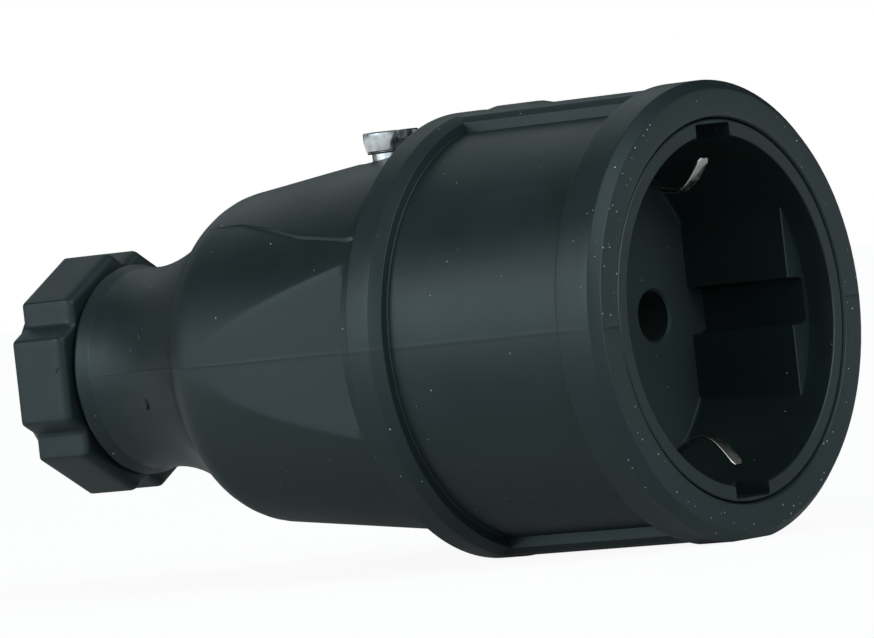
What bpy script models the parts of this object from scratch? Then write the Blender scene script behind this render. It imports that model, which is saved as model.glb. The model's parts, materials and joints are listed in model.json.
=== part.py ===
"""Rubber cable coupler with a two-pole and earth socket, at its real size in metres.

The coupler's axis is X and its socket faces +X, with +Z up. The origin is the centre of
the contact face at the bottom of the socket, halfway between the two pin holes.
The pieces run from the rim in front to the gland nut behind: a one-piece rubber housing,
a hard socket insert with the contact carrier behind it, and the cord gland.
"""

import math

import bmesh
import bpy
from mathutils import Vector

MM = 0.001
CLEARANCE = 0.3 * MM  # between any piece and the one it sits in or on

# Socket insert
RECESS_DEPTH = 17.2 * MM
RECESS_DRAFT = 0.35 * MM
INSERT_WALL = 1.85 * MM
FLOOR_THICKNESS = 4.6 * MM
PIN_SPACING = 19.0 * MM
PIN_TO_WALL = 10.3 * MM  # from a pin hole's centre to the wall of the recess
PIN_HOLE_RADIUS = 2.95 * MM
PIN_HOLE_CHAMFER = 0.3 * MM
GUIDE_SPACING = 33.0 * MM  # between the flat guides at the two sides of the recess
GUIDE_LENGTH = 14.3 * MM
GUIDE_GROOVE_WIDTH = 5.4 * MM
GUIDE_GROOVE_DEPTH = 2.2 * MM
NOTCH_WIDTH = 6.5 * MM
NOTCH_LENGTH = 4.0 * MM
NOTCH_WALL = 0.5 * MM  # what the notch leaves of the insert's wall

# Housing, from the rim backwards
BARREL_WALL = 2.05 * MM
RIM_PROUD = 0.8 * MM
RIM_RISE = 2.15 * MM
RIM_WIDTH = 5.6 * MM
RIM_CHAMFER = 1.1 * MM
RIM_MOUTH_CHAMFER = 0.5 * MM
WINDOW_LENGTH = 25.2 * MM
COLLAR_RISE = 1.85 * MM
COLLAR_WIDTH = 4.7 * MM
COLLAR_CHAMFER_LENGTH = 1.4 * MM
COLLAR_CHAMFER_DEPTH = 0.75 * MM
COLLAR_REAR_CHAMFER = 0.5 * MM
BAR_WIDTH = 11.6 * MM
BAR_CHAMFER = 0.75 * MM
BAR_DROP = 0.1 * MM  # the bars' outer faces lie this far inside the collar's
EMBLEM_LENGTH = 7.2 * MM
EMBLEM_WIDTH = 5.0 * MM
EMBLEM_HEIGHT = 0.35 * MM
EMBLEM_OFFSET = 4.0 * MM  # from the collar's front face to the oval's centre
HOOD_STEP = 1.3 * MM
HOOD_LENGTH = 31.1 * MM
HOOD_TAPER = 3.3 * MM
HOOD_WALL = 4.0 * MM
HOOD_FLAT_DEPTH = 2.83 * MM  # how far the side flats cut into the hood at the collar
HOOD_FLAT_GAP = 3.6 * MM  # from the collar's rear face to the flats
SADDLE_RISE = 0.2 * MM
SADDLE_REAR_ANGLE = math.radians(47.0)
SADDLE_FRONT_ANGLE = math.radians(35.5)
SADDLE_GAP = 2.2 * MM
SADDLE_LENGTH = 27.0 * MM
SHOULDER_RUN = 3.1 * MM  # the steep part of the shoulder, behind the hood
SHOULDER_FALL = 2.9 * MM
SHOULDER_ROUND = 2.4 * MM
FLARE_RUN = 10.8 * MM  # the hollow part, from the shoulder to the neck
FLARE_HOLLOW = 0.65 * MM  # how far it dips below a straight cone
FLARE_ROUND = 14.0 * MM
NECK_LENGTH = 3.6 * MM
NECK_ROUND = 6.0 * MM
NECK_WALL = 4.0 * MM
BEAD_RISE = 0.6 * MM
BEAD_SLOPE = 1.9 * MM
BEAD_LENGTH = 1.5 * MM
BEAD_ROUND = 0.25 * MM

# Gland
SPIGOT_WALL = 2.2 * MM
SPIGOT_LENGTH = 7.0 * MM
GROMMET_TAPER = 1.1 * MM
GROMMET_LENGTH = 8.4 * MM
CORD_BORE_RADIUS = 4.4 * MM
GROMMET_WALL = 3.28 * MM
WASHER_THICKNESS = 0.8 * MM
NUT_GAP = 0.6 * MM
NUT_WALL = 3.2 * MM  # from the thread's bore to the flats
NUT_FLAT_WIDTH = 9.95 * MM
NUT_NOTCH_DEPTH = 1.5 * MM
NUT_FLATS = 6
NUT_REAR_WALL = 2.3 * MM
NUT_CHAMFER = 0.9 * MM
NUT_BACK_STEP = 0.6 * MM  # from the thread's floor forward to the flats' rear edge
NUT_BACK_LAND = 1.7 * MM  # flat ring behind the corners, round the domed cap
NUT_CAP_RADIUS = 9.5 * MM
NUT_MOUTH_RADIUS = 6.2 * MM

# Contact carrier and what it holds
CARRIER_INSET = 4.85 * MM  # how far the carrier stays inside the insert's outside
CARRIER_LENGTH = 21.6 * MM
TERMINAL_LENGTH = 8.2 * MM
TERMINAL_WIDTH = 7.0 * MM
WIRE_HOLE_RADIUS = 1.7 * MM
WIRE_HOLE_DEPTH = 6.4 * MM
SLEEVE_RADIUS = 2.9 * MM
SLEEVE_WALL = 0.5 * MM
SLEEVE_SLIT_WIDTH = 0.6 * MM
SLEEVE_SLIT_LENGTH = 9.0 * MM
SLEEVE_SETBACK = 0.5 * MM
SPRING_RING_WIDTH = 2.4 * MM
SPRING_RING_THICKNESS = 0.5 * MM
SPRING_RING_SETBACK = 3.0 * MM
TERMINAL_SCREW_RADIUS = 1.5 * MM
TERMINAL_SCREW_LENGTH = 2.0 * MM
TERMINAL_HEAD_RADIUS = 2.3 * MM
TERMINAL_HEAD_HEIGHT = 2.0 * MM
CARRIER_SCREW_RADIUS = 1.5 * MM
CARRIER_SCREW_BITE = 3.0 * MM  # how far a carrier screw reaches into the insert's floor
CARRIER_HEAD_RADIUS = 2.6 * MM
CARRIER_HEAD_HEIGHT = 2.0 * MM
CARRIER_HEAD_SINK = 4.2 * MM
CARRIER_SCREW_INSET = 3.5 * MM  # from the carrier's outside to the carrier screws
CARRIER_SCREW_ANGLE = math.radians(57.0)  # below the level of the pin holes

# Earth strap and its two contact springs
STRAP_WIDTH = 5.0 * MM
STRAP_THICKNESS = 0.8 * MM
STRAP_ARM_REACH = 3.4 * MM  # in front of the contact face
STRAP_WALL_GAP = 1.1 * MM
EARTH_SPRING_THICKNESS = 0.4 * MM
EARTH_SPRING_WIDTH = 1.9 * MM
EARTH_SPRING_ROOT_WIDTH = 3.6 * MM
EARTH_SPRING_START = 0.8 * MM
EARTH_SPRING_APEX = 12.1 * MM
EARTH_SPRING_BULGE = 3.45 * MM
EARTH_SPRING_LENGTH = 15.4 * MM
RIVET_RADIUS = 0.6 * MM
RIVET_HEAD_RADIUS = 1.2 * MM
RIVET_HEAD_HEIGHT = 0.4 * MM
EARTH_SCREW_RADIUS = 1.5 * MM
EARTH_SCREW_INSET = 6.9 * MM  # from the strap's lower arm to the earth screw
EARTH_HEAD_RADIUS = 2.4 * MM
EARTH_HEAD_HEIGHT = 1.8 * MM
EARTH_CLAMP_SIDE = 6.4 * MM
EARTH_CLAMP_THICKNESS = 0.9 * MM

# Housing screw, its washer and its square nut
SCREW_SETBACK = 10.4 * MM  # behind the collar's rear face
SCREW_RADIUS = 2.45 * MM
SCREW_HEAD_RADIUS = 3.23 * MM
SCREW_HEAD_TAPER = 0.16 * MM
SCREW_HEAD_HEIGHT = 2.2 * MM
SCREW_SLOT_WIDTH = 1.2 * MM
SCREW_SLOT_DEPTH = 1.1 * MM
SCREW_LENGTH = 12.2 * MM
SCREW_BACKED_OUT = 1.0 * MM  # how far the washer stands off its seat
SCREW_WASHER_THICKNESS = 0.25 * MM
SCREW_SEAT_SINK = 0.7 * MM
SCREW_SEAT_RADIUS = 4.0 * MM
SQUARE_NUT_SIDE = 8.0 * MM
SQUARE_NUT_THICKNESS = 2.8 * MM
SQUARE_NUT_COVER = 2.2 * MM  # of the boss above the nut
BOSS_WIDTH = 10.8 * MM
BOSS_WALL = 1.4 * MM

# Cord clamp on the carrier's tail
TAIL_EDGE = 2.3 * MM  # from the clamp screws to the tail's sides
TAIL_THICKNESS = 3.0 * MM
TAIL_REACH = 15.5 * MM
CLAMP_SETBACK = 11.5 * MM  # from the carrier's back to the clamp's screws
CLAMP_SCREW_SPACING = 14.4 * MM
CLAMP_POST_RADIUS = 2.3 * MM
CLAMP_POST_HEIGHT = 9.0 * MM
CLAMP_BAR_LENGTH = 5.6 * MM
CLAMP_BAR_THICKNESS = 3.0 * MM
CLAMP_BAR_EDGE = 2.4 * MM  # from the clamp screws to the bar's ends
CLAMP_ARCH_RADIUS = 4.9 * MM
CLAMP_SCREW_RADIUS = 1.25 * MM
CLAMP_SCREW_LENGTH = 8.0 * MM
CLAMP_HEAD_RADIUS = 2.3 * MM
CLAMP_HEAD_HEIGHT = 1.8 * MM

SCREWDRIVER_SLOT_WIDTH = 0.7 * MM
SCREWDRIVER_SLOT_DEPTH = 0.8 * MM

# Places along the axis, from the sizes above
CONTACT_FACE_X = 0.0
FLOOR_BACK_X = CONTACT_FACE_X - FLOOR_THICKNESS
LIP_X = CONTACT_FACE_X + RECESS_DEPTH
RIM_FACE_X = LIP_X + RIM_PROUD
RIM_REAR_X = RIM_FACE_X - RIM_WIDTH
COLLAR_FRONT_X = RIM_REAR_X - WINDOW_LENGTH
COLLAR_REAR_X = COLLAR_FRONT_X - COLLAR_WIDTH
HOOD_REAR_X = COLLAR_REAR_X - HOOD_LENGTH
SHOULDER_FOOT_X = HOOD_REAR_X - SHOULDER_RUN
NECK_FRONT_X = SHOULDER_FOOT_X - FLARE_RUN
NECK_REAR_X = NECK_FRONT_X - NECK_LENGTH
BEAD_FRONT_X = NECK_REAR_X - BEAD_SLOPE
BEAD_REAR_X = BEAD_FRONT_X - BEAD_LENGTH
SPIGOT_END_X = BEAD_REAR_X - SPIGOT_LENGTH
GROMMET_REAR_X = SPIGOT_END_X - 1.5 * CLEARANCE
WASHER_FRONT_X = GROMMET_REAR_X - CLEARANCE
WASHER_REAR_X = WASHER_FRONT_X - WASHER_THICKNESS
NUT_FLOOR_X = WASHER_REAR_X - CLEARANCE
NUT_REAR_X = NUT_FLOOR_X - NUT_REAR_WALL
NUT_FRONT_X = BEAD_REAR_X - NUT_GAP
CARRIER_FRONT_X = FLOOR_BACK_X - CLEARANCE
CARRIER_REAR_X = CARRIER_FRONT_X - CARRIER_LENGTH
TERMINAL_REAR_X = CARRIER_REAR_X + CLEARANCE
TERMINAL_FRONT_X = TERMINAL_REAR_X + TERMINAL_LENGTH
SCREW_X = COLLAR_REAR_X - SCREW_SETBACK
CLAMP_X = CARRIER_REAR_X - CLAMP_SETBACK

# Widths that follow the clamp's screws
TAIL_WIDTH = CLAMP_SCREW_SPACING + 2 * TAIL_EDGE
CLAMP_BAR_WIDTH = CLAMP_SCREW_SPACING + 2 * CLAMP_BAR_EDGE

# Radii, from the sizes above
HALF_PINS = PIN_SPACING / 2
RECESS_RADIUS = HALF_PINS + PIN_TO_WALL
INSERT_RADIUS = RECESS_RADIUS + INSERT_WALL
BORE_RADIUS = INSERT_RADIUS + CLEARANCE
CARRIER_RADIUS = INSERT_RADIUS - CARRIER_INSET
CARRIER_SCREW_CIRCLE = CARRIER_RADIUS - CARRIER_SCREW_INSET
BARREL_RADIUS = BORE_RADIUS + BARREL_WALL
RIM_RADIUS = BARREL_RADIUS + RIM_RISE
COLLAR_RADIUS = BARREL_RADIUS + COLLAR_RISE
HOOD_FRONT_RADIUS = BARREL_RADIUS - HOOD_STEP
HOOD_REAR_RADIUS = HOOD_FRONT_RADIUS - HOOD_TAPER
SHOULDER_FOOT_RADIUS = HOOD_REAR_RADIUS - SHOULDER_FALL
NECK_BORE_RADIUS = CORD_BORE_RADIUS + GROMMET_WALL + CLEARANCE
NECK_RADIUS = NECK_BORE_RADIUS + NECK_WALL
BEAD_RADIUS = NECK_RADIUS + BEAD_RISE
SPIGOT_RADIUS = NECK_BORE_RADIUS + SPIGOT_WALL
NUT_BORE_RADIUS = SPIGOT_RADIUS + CLEARANCE
NUT_APOTHEM = NUT_BORE_RADIUS + NUT_WALL
HOOD_FLAT_Y = HOOD_FRONT_RADIUS - HOOD_FLAT_DEPTH

ROUND_STEPS = 60  # sides of the housing and the insert
SHOWN_STEPS = 24  # sides of small round pieces and holes that show
SMALL_STEPS = 14  # sides of screws and holes inside
ARC_STEP = math.radians(20.0)
AXIS_MARK_SIZE = 5.0 * MM


def material(name, color, roughness, metallic=0.0):
    """A Principled BSDF material of one plain colour."""
    made = bpy.data.materials.new(name)
    made.use_nodes = True
    shader = made.node_tree.nodes["Principled BSDF"]
    shader.inputs["Base Color"].default_value = (*color, 1.0)
    shader.inputs["Roughness"].default_value = roughness
    shader.inputs["Metallic"].default_value = metallic
    return made


def finish_mesh(name, bm, finish, parent=None, origin=(0.0, 0.0, 0.0)):
    """Turns a bmesh, built around its own origin, into a placed object."""
    bmesh.ops.recalc_face_normals(bm, faces=bm.faces)
    mesh = bpy.data.meshes.new(name)
    bm.to_mesh(mesh)
    bm.free()
    made = bpy.data.objects.new(name, mesh)
    bpy.context.scene.collection.objects.link(made)
    made.location = origin
    if parent is not None:
        made.parent = parent
        made.location = Vector(origin) - parent.location
    if finish is not None:
        mesh.materials.append(finish)
    mesh.shade_smooth()
    mesh.set_sharp_from_angle(angle=math.radians(28.0))
    return made


def axis_empty(name, place):
    """An empty on a joint's axis, which carries the pieces that move together."""
    made = bpy.data.objects.new(name, None)
    made.empty_display_size = AXIS_MARK_SIZE
    bpy.context.scene.collection.objects.link(made)
    made.location = place
    return made


def rounded_outline(corners):
    """A closed outline whose corners (x, y, radius) are rounded by tangent arcs."""
    outline = []
    count = len(corners)
    for i, (x, y, radius) in enumerate(corners):
        corner = Vector((x, y))
        if radius <= 0:
            outline.append(corner)
            continue
        before = Vector(corners[i - 1][:2]) - corner
        after = Vector(corners[(i + 1) % count][:2]) - corner
        opening = before.angle(after)
        reach = radius / math.tan(opening / 2)
        reach = min(reach, 0.48 * before.length, 0.48 * after.length)
        radius = reach * math.tan(opening / 2)
        start = corner + before.normalized() * reach
        end = corner + after.normalized() * reach
        middle = (before.normalized() + after.normalized()).normalized()
        centre = corner + middle * math.hypot(reach, radius)
        first = start - centre
        turn = (end - centre).angle(first)
        side = 1 if first.x * (end - centre).y - first.y * (end - centre).x > 0 else -1
        steps = max(1, round(turn / ARC_STEP))
        for step in range(steps + 1):
            swing = side * turn * step / steps
            outline.append(centre + Vector((
                first.x * math.cos(swing) - first.y * math.sin(swing),
                first.x * math.sin(swing) + first.y * math.cos(swing))))
    return outline


def turned(name, corners, finish, steps=ROUND_STEPS, axis="X", **place):
    """Spins an outline of (along, radius, rounding) corners about its axis.

    The outline closes on itself, or along the axis where both its ends lie on that.
    """
    bm = bmesh.new()
    outline = rounded_outline(corners)
    if axis == "X":
        ring = [bm.verts.new((p.x, 0.0, p.y)) for p in outline]
    else:
        ring = [bm.verts.new((p.y, 0.0, p.x)) for p in outline]
    solid_core = outline[0].y == 0.0 and outline[-1].y == 0.0
    edges = [bm.edges.new((ring[i - 1], ring[i])) for i in range(solid_core, len(ring))]
    about = (1.0, 0.0, 0.0) if axis == "X" else (0.0, 0.0, 1.0)
    bmesh.ops.spin(bm, geom=ring + edges, cent=(0, 0, 0), axis=about,
                   angle=math.tau, steps=steps, use_merge=True)
    bmesh.ops.remove_doubles(bm, verts=bm.verts, dist=1e-6)
    return finish_mesh(name, bm, finish, **place)


def prism(name, outline, low, high, finish=None, axis="X", **place):
    """Extrudes a flat outline from low to high along X, Y or Z."""
    def lifted(point, level):
        if axis == "X":
            return (level, point[0], point[1])
        if axis == "Y":
            return (point[0], level, point[1])
        return (point[0], point[1], level)

    bm = bmesh.new()
    face = bm.faces.new([bm.verts.new(lifted(point, low)) for point in outline])
    extruded = bmesh.ops.extrude_face_region(bm, geom=[face])
    moved = [item for item in extruded["geom"] if isinstance(item, bmesh.types.BMVert)]
    shift = Vector(lifted((0.0, 0.0), high - low))
    bmesh.ops.translate(bm, verts=moved, vec=shift)
    return finish_mesh(name, bm, finish, **place)


def block(name, low, high, finish=None, **place):
    """A box between two corners."""
    outline = [(low[1], low[2]), (high[1], low[2]), (high[1], high[2]), (low[1], high[2])]
    return prism(name, outline, low[0], high[0], finish, **place)


def circle(radius, steps, centre=(0.0, 0.0), start=0.0):
    """Points of a circle, as (u, v) pairs."""
    return [(centre[0] + radius * math.cos(start + math.tau * i / steps),
             centre[1] + radius * math.sin(start + math.tau * i / steps))
            for i in range(steps)]


def rod(name, radius, low, high, finish=None, axis="X", centre=(0.0, 0.0),
        steps=SMALL_STEPS, **place):
    """A round bar along an axis, from low to high, with facets facing the other axes."""
    outline = circle(radius, steps, centre, start=math.pi / steps)
    return prism(name, outline, low, high, finish, axis, **place)


def combine(target, other, operation):
    """Adds or cuts another solid, which then stays as a hidden guide."""
    modifier = target.modifiers.new(f"{operation}_{other.name}", "BOOLEAN")
    modifier.operation = operation
    modifier.solver = "EXACT"
    modifier.object = other
    other.hide_render = True
    other.display_type = "WIRE"


def join(target, *others):
    for other in others:
        combine(target, other, "UNION")


def cut(target, *cutters):
    for cutter in cutters:
        combine(target, cutter, "DIFFERENCE")


def bent_strip(name, path, widths, thickness, finish, **place):
    """A flat strip of one thickness bent along a path of (x, z) points, width along Y."""
    bm = bmesh.new()
    rings = []
    for i, here in enumerate(path):
        before = path[max(i - 1, 0)]
        after = path[min(i + 1, len(path) - 1)]
        along = (Vector(after) - Vector(before)).normalized()
        across = Vector((-along.y, along.x)) * thickness / 2
        half = widths[i] / 2
        rings.append([bm.verts.new((here[0] + side * across.x, y, here[1] + side * across.y))
                      for side, y in ((1, -half), (1, half), (-1, half), (-1, -half))])
    for first, second in zip(rings, rings[1:]):
        for k in range(4):
            bm.faces.new((first[k - 1], first[k], second[k], second[k - 1]))
    bm.faces.new(rings[0])
    bm.faces.new(rings[-1][::-1])
    return finish_mesh(name, bm, finish, **place)


def slotted_screw(name, shank_radius, shank_length, head_radius, head_height, finish,
                  slot=(SCREWDRIVER_SLOT_WIDTH, SCREWDRIVER_SLOT_DEPTH), taper=0.0,
                  axis="Z", slot_angle=0.0, steps=SMALL_STEPS, parent=None,
                  origin=(0.0, 0.0, 0.0)):
    """A cheese-head screw whose head bears on its origin; along X the head faces backwards."""
    edge = 0.12 * head_height
    side = 1 if axis == "Z" else -1
    corners = [(-shank_length, 0.0, 0), (-shank_length, 0.75 * shank_radius, 0),
               (-shank_length + 0.3 * shank_radius, shank_radius, 0), (0.0, shank_radius, 0),
               (0.0, head_radius - taper, 0), (head_height - edge, head_radius, 0),
               (head_height, head_radius - edge, 0), (head_height, 0.0, 0)]
    corners = [(side * along, radius, 0) for along, radius, _ in corners]
    place = {"parent": parent, "origin": origin}
    body = turned(name, corners, finish, steps=steps, axis=axis, **place)
    width, depth = slot
    reach = 1.5 * head_radius
    low, high = sorted((side * (head_height - depth), side * (head_height + depth)))
    if axis == "Z":
        groove = block(f"{name}_slot", (-reach, -width / 2, low), (reach, width / 2, high), **place)
        groove.rotation_euler.z = slot_angle
    else:
        groove = block(f"{name}_slot", (low, -reach, -width / 2), (high, reach, width / 2), **place)
        groove.rotation_euler.x = slot_angle
    cut(body, groove)
    return body


def hood_radius(x):
    """Outer radius of the hood's cone at a place along the axis."""
    share = (COLLAR_REAR_X - x) / HOOD_LENGTH
    return HOOD_FRONT_RADIUS + (HOOD_REAR_RADIUS - HOOD_FRONT_RADIUS) * share


def housing_corners():
    """Half section of the rubber housing: outside from the spigot to the rim, then inside."""
    flare_middle = (SHOULDER_FOOT_RADIUS + NECK_RADIUS) / 2 - FLARE_HOLLOW
    outside = [
        (SPIGOT_END_X, SPIGOT_RADIUS, 0.4 * MM),
        (BEAD_REAR_X, SPIGOT_RADIUS, 0),
        (BEAD_REAR_X, BEAD_RADIUS, BEAD_ROUND),
        (BEAD_FRONT_X, BEAD_RADIUS, 2 * BEAD_ROUND),
        (NECK_REAR_X, NECK_RADIUS, 0.5 * NECK_ROUND),
        (NECK_FRONT_X, NECK_RADIUS, NECK_ROUND),
        ((SHOULDER_FOOT_X + NECK_FRONT_X) / 2, flare_middle, FLARE_ROUND),
        (SHOULDER_FOOT_X, SHOULDER_FOOT_RADIUS, 0),
        (HOOD_REAR_X, HOOD_REAR_RADIUS, SHOULDER_ROUND),
        (COLLAR_REAR_X, HOOD_FRONT_RADIUS, 0),
        (COLLAR_REAR_X, COLLAR_RADIUS - COLLAR_REAR_CHAMFER, 0),
        (COLLAR_REAR_X + COLLAR_REAR_CHAMFER, COLLAR_RADIUS, 0),
        (COLLAR_FRONT_X - COLLAR_CHAMFER_LENGTH, COLLAR_RADIUS, 0),
        (COLLAR_FRONT_X, COLLAR_RADIUS - COLLAR_CHAMFER_DEPTH, 0),
        (COLLAR_FRONT_X, BARREL_RADIUS, 0),
        (RIM_REAR_X, BARREL_RADIUS, 0),
        (RIM_REAR_X, RIM_RADIUS, 0.3 * MM),
        (RIM_FACE_X - RIM_CHAMFER, RIM_RADIUS, 0.4 * MM),
        (RIM_FACE_X, RIM_RADIUS - RIM_CHAMFER, 0.4 * MM),
    ]
    inner_front = HOOD_FRONT_RADIUS - HOOD_WALL
    inner_rear = HOOD_REAR_RADIUS - HOOD_WALL
    grommet_seat = NECK_BORE_RADIUS + GROMMET_TAPER
    inside = [
        (RIM_FACE_X, BORE_RADIUS + RIM_MOUTH_CHAMFER, 0),
        (RIM_FACE_X - RIM_MOUTH_CHAMFER, BORE_RADIUS, 0),
        (FLOOR_BACK_X - CLEARANCE, BORE_RADIUS, 0),
        (FLOOR_BACK_X - CLEARANCE, inner_front, 0),
        (COLLAR_REAR_X, inner_front, 0),
        (HOOD_REAR_X, inner_rear, 0),
        (NECK_FRONT_X, NECK_BORE_RADIUS, 0),
        (GROMMET_REAR_X + GROMMET_LENGTH + CLEARANCE, NECK_BORE_RADIUS, 0),
        (SPIGOT_END_X, grommet_seat, 0),
    ]
    return outside + inside


def saddle_outline(x, rise):
    """Cross-section at x of the raised saddle on the hood's top, as (y, z) pairs."""
    share = (COLLAR_REAR_X - x) / (SADDLE_GAP + SADDLE_LENGTH)
    edge_angle = SADDLE_FRONT_ANGLE + (SADDLE_REAR_ANGLE - SADDLE_FRONT_ANGLE) * share
    sweep = math.pi - 2 * edge_angle
    outer = hood_radius(x) + rise
    inner = hood_radius(x) - HOOD_WALL / 2
    steps = 20
    arc = [edge_angle + sweep * i / steps for i in range(steps + 1)]
    return ([(outer * math.cos(a), outer * math.sin(a)) for a in arc]
            + [(inner * math.cos(a), inner * math.sin(a)) for a in reversed(arc)])


def hood_saddle():
    """Raised area round the housing screw, which fades into the hood towards the rear."""
    bm = bmesh.new()
    front = COLLAR_REAR_X - SADDLE_GAP
    stations = [
        (front + 1.3 * MM, 0.0), (front + 0.6 * MM, 0.7), (front, 1.0),
        (front - 0.4 * SADDLE_LENGTH, 0.6), (front - SADDLE_LENGTH, -0.6)]
    rings = [[bm.verts.new((x, y, z)) for y, z in saddle_outline(x, share * SADDLE_RISE)]
             for x, share in stations]
    count = len(rings[0])
    for first, second in zip(rings, rings[1:]):
        for k in range(count):
            bm.faces.new((first[k - 1], first[k], second[k], second[k - 1]))
    bm.faces.new(rings[0])
    bm.faces.new(rings[-1][::-1])
    return finish_mesh("hood_saddle", bm, None)


def bar_outline(side):
    """Cross-section of the bar that joins collar and rim, above (1) or below (-1)."""
    half = BAR_WIDTH / 2
    outer = COLLAR_RADIUS - BAR_DROP
    foot = math.sqrt((BARREL_RADIUS - BARREL_WALL / 2) ** 2 - half ** 2)
    reach = math.asin((half - BAR_CHAMFER) / outer)
    shoulder = outer * math.cos(reach) - BAR_CHAMFER
    steps = 6
    arc = [reach - 2 * reach * i / steps for i in range(steps + 1)]
    points = [(half, foot), (half, shoulder)]
    points += [(outer * math.sin(a), outer * math.cos(a)) for a in arc]
    points += [(-half, shoulder), (-half, foot)]
    return [(y, side * z) for y, z in points]


def build_housing(rubber):
    """One rubber moulding: rim, barrel between its bars, collar, hood, neck and spigot."""
    housing = turned("housing", housing_corners(), rubber)
    for side, name in ((1, "top_bar"), (-1, "bottom_bar")):
        join(housing, prism(name, bar_outline(side), COLLAR_FRONT_X - COLLAR_WIDTH / 2,
                            RIM_REAR_X + RIM_WIDTH / 2))
    emblem_x = COLLAR_FRONT_X + EMBLEM_OFFSET
    oval = [(emblem_x + EMBLEM_LENGTH / 2 * math.cos(a), EMBLEM_WIDTH / 2 * math.sin(a))
            for a in (math.tau * i / SHOWN_STEPS for i in range(SHOWN_STEPS))]
    join(housing, prism("top_oval", oval, COLLAR_RADIUS - BAR_CHAMFER,
                        COLLAR_RADIUS + EMBLEM_HEIGHT, axis="Z"))
    join(housing, hood_saddle())
    far = 2 * COLLAR_RADIUS
    for side, name in ((1, "right_flat"), (-1, "left_flat")):
        flat_front = COLLAR_REAR_X - HOOD_FLAT_GAP
        past = HOOD_FLAT_DEPTH  # the step at the flat's front leans back by its own height
        cut(housing, prism(f"{name}_cutter", [
            (flat_front, side * HOOD_FLAT_Y), (SHOULDER_FOOT_X, side * HOOD_FLAT_Y),
            (SHOULDER_FOOT_X, side * (HOOD_FLAT_Y + 2 * past)),
            (flat_front + past, side * (HOOD_FLAT_Y + 2 * past))], -far, far, axis="Z"))
    # The rim's lowest line is flattened to the bar's level, so that the coupler lies steady.
    cut(housing, block("rest_flat_cutter", (RIM_REAR_X - RIM_WIDTH, -far, -far),
                       (RIM_FACE_X + RIM_WIDTH, far, -COLLAR_RADIUS)))
    seat = hood_radius(SCREW_X) - SCREW_SEAT_SINK
    cut(housing,
        rod("screw_seat_cutter", SCREW_SEAT_RADIUS, seat, far, axis="Z", centre=(SCREW_X, 0.0),
            steps=SHOWN_STEPS),
        rod("screw_hole_cutter", SCREW_RADIUS + CLEARANCE, 0.0, far, axis="Z",
            centre=(SCREW_X, 0.0), steps=SHOWN_STEPS))
    return housing


def nut_outline():
    """Cross-section of the gland nut: six flats with a V-shaped notch at each corner."""
    half = NUT_FLAT_WIDTH / 2
    depth_radius = math.hypot(NUT_APOTHEM, half) - NUT_NOTCH_DEPTH
    land = 0.35 * MM
    outline = []
    for i in range(NUT_FLATS):
        facing = math.pi + math.tau * i / NUT_FLATS
        valley = facing + math.pi / NUT_FLATS
        normal = Vector((math.cos(facing), math.sin(facing)))
        along = Vector((-normal.y, normal.x))
        outline += [normal * NUT_APOTHEM - along * half, normal * NUT_APOTHEM + along * half]
        dip = Vector((math.cos(valley), math.sin(valley)))
        across = Vector((-dip.y, dip.x))
        outline += [dip * depth_radius - across * land, dip * depth_radius + across * land]
    return [(point.x, point.y) for point in outline]


def build_gland(rubber, hard, parent):
    """Grommet in the spigot, thrust washer and notched nut, the last two on the gland's axis."""
    taper_end = NECK_BORE_RADIUS - CLEARANCE
    grommet = turned("sealing_grommet", [
        (GROMMET_REAR_X, CORD_BORE_RADIUS, 0),
        (GROMMET_REAR_X, taper_end + GROMMET_TAPER, 0),
        (GROMMET_REAR_X + GROMMET_LENGTH, taper_end, 0),
        (GROMMET_REAR_X + GROMMET_LENGTH, CORD_BORE_RADIUS, 0)], rubber, steps=32)
    start = parent.location.x
    washer = turned("thrust_washer", [
        (WASHER_REAR_X - start, CORD_BORE_RADIUS + CLEARANCE, 0),
        (WASHER_REAR_X - start, NUT_BORE_RADIUS - CLEARANCE, 0),
        (WASHER_FRONT_X - start, NUT_BORE_RADIUS - CLEARANCE, 0),
        (WASHER_FRONT_X - start, CORD_BORE_RADIUS + CLEARANCE, 0)],
        hard, steps=32, parent=parent, origin=parent.location)
    nut = prism("gland_nut", nut_outline(), NUT_REAR_X - start, NUT_FRONT_X - start, rubber,
                parent=parent, origin=parent.location)
    corner = math.hypot(NUT_APOTHEM, NUT_FLAT_WIDTH / 2)
    outer = corner + NUT_WALL
    shape = {"parent": parent, "origin": parent.location}
    land = corner - NUT_BACK_LAND
    back = NUT_FLOOR_X + NUT_BACK_STEP
    # What is turned off the hexagon: a front chamfer, and all behind the flats but the cap.
    cut(nut, turned("nut_front_cutter", [
        (NUT_FRONT_X - NUT_CHAMFER - start, corner, 0),
        (NUT_FRONT_X + NUT_CHAMFER - start, corner - 2 * NUT_CHAMFER, 0),
        (NUT_FRONT_X + NUT_CHAMFER - start, outer, 0),
        (NUT_FRONT_X - NUT_CHAMFER - start, outer, 0)], None, steps=48, **shape))
    cut(nut, turned("nut_rear_cutter", [
        (back - start, land, 0),
        (back - start, outer, 0),
        (NUT_REAR_X - NUT_REAR_WALL - start, outer, 0),
        (NUT_REAR_X - NUT_REAR_WALL - start, NUT_CAP_RADIUS, 0),
        (NUT_REAR_X - start, NUT_CAP_RADIUS, 0),
        (NUT_REAR_X + 0.4 * NUT_REAR_WALL - start, 0.6 * NUT_CAP_RADIUS + 0.4 * land, 0)],
        None, steps=48, **shape))
    cut(nut, prism("nut_thread_cutter", circle(NUT_BORE_RADIUS, 48), NUT_FLOOR_X - start,
                   NUT_FRONT_X + NUT_WALL - start, **shape))
    cut(nut, prism("nut_mouth_cutter", circle(NUT_MOUTH_RADIUS, 32), NUT_REAR_X - NUT_WALL - start,
                   NUT_FRONT_X - start, **shape))
    return grommet, washer, nut


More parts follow.
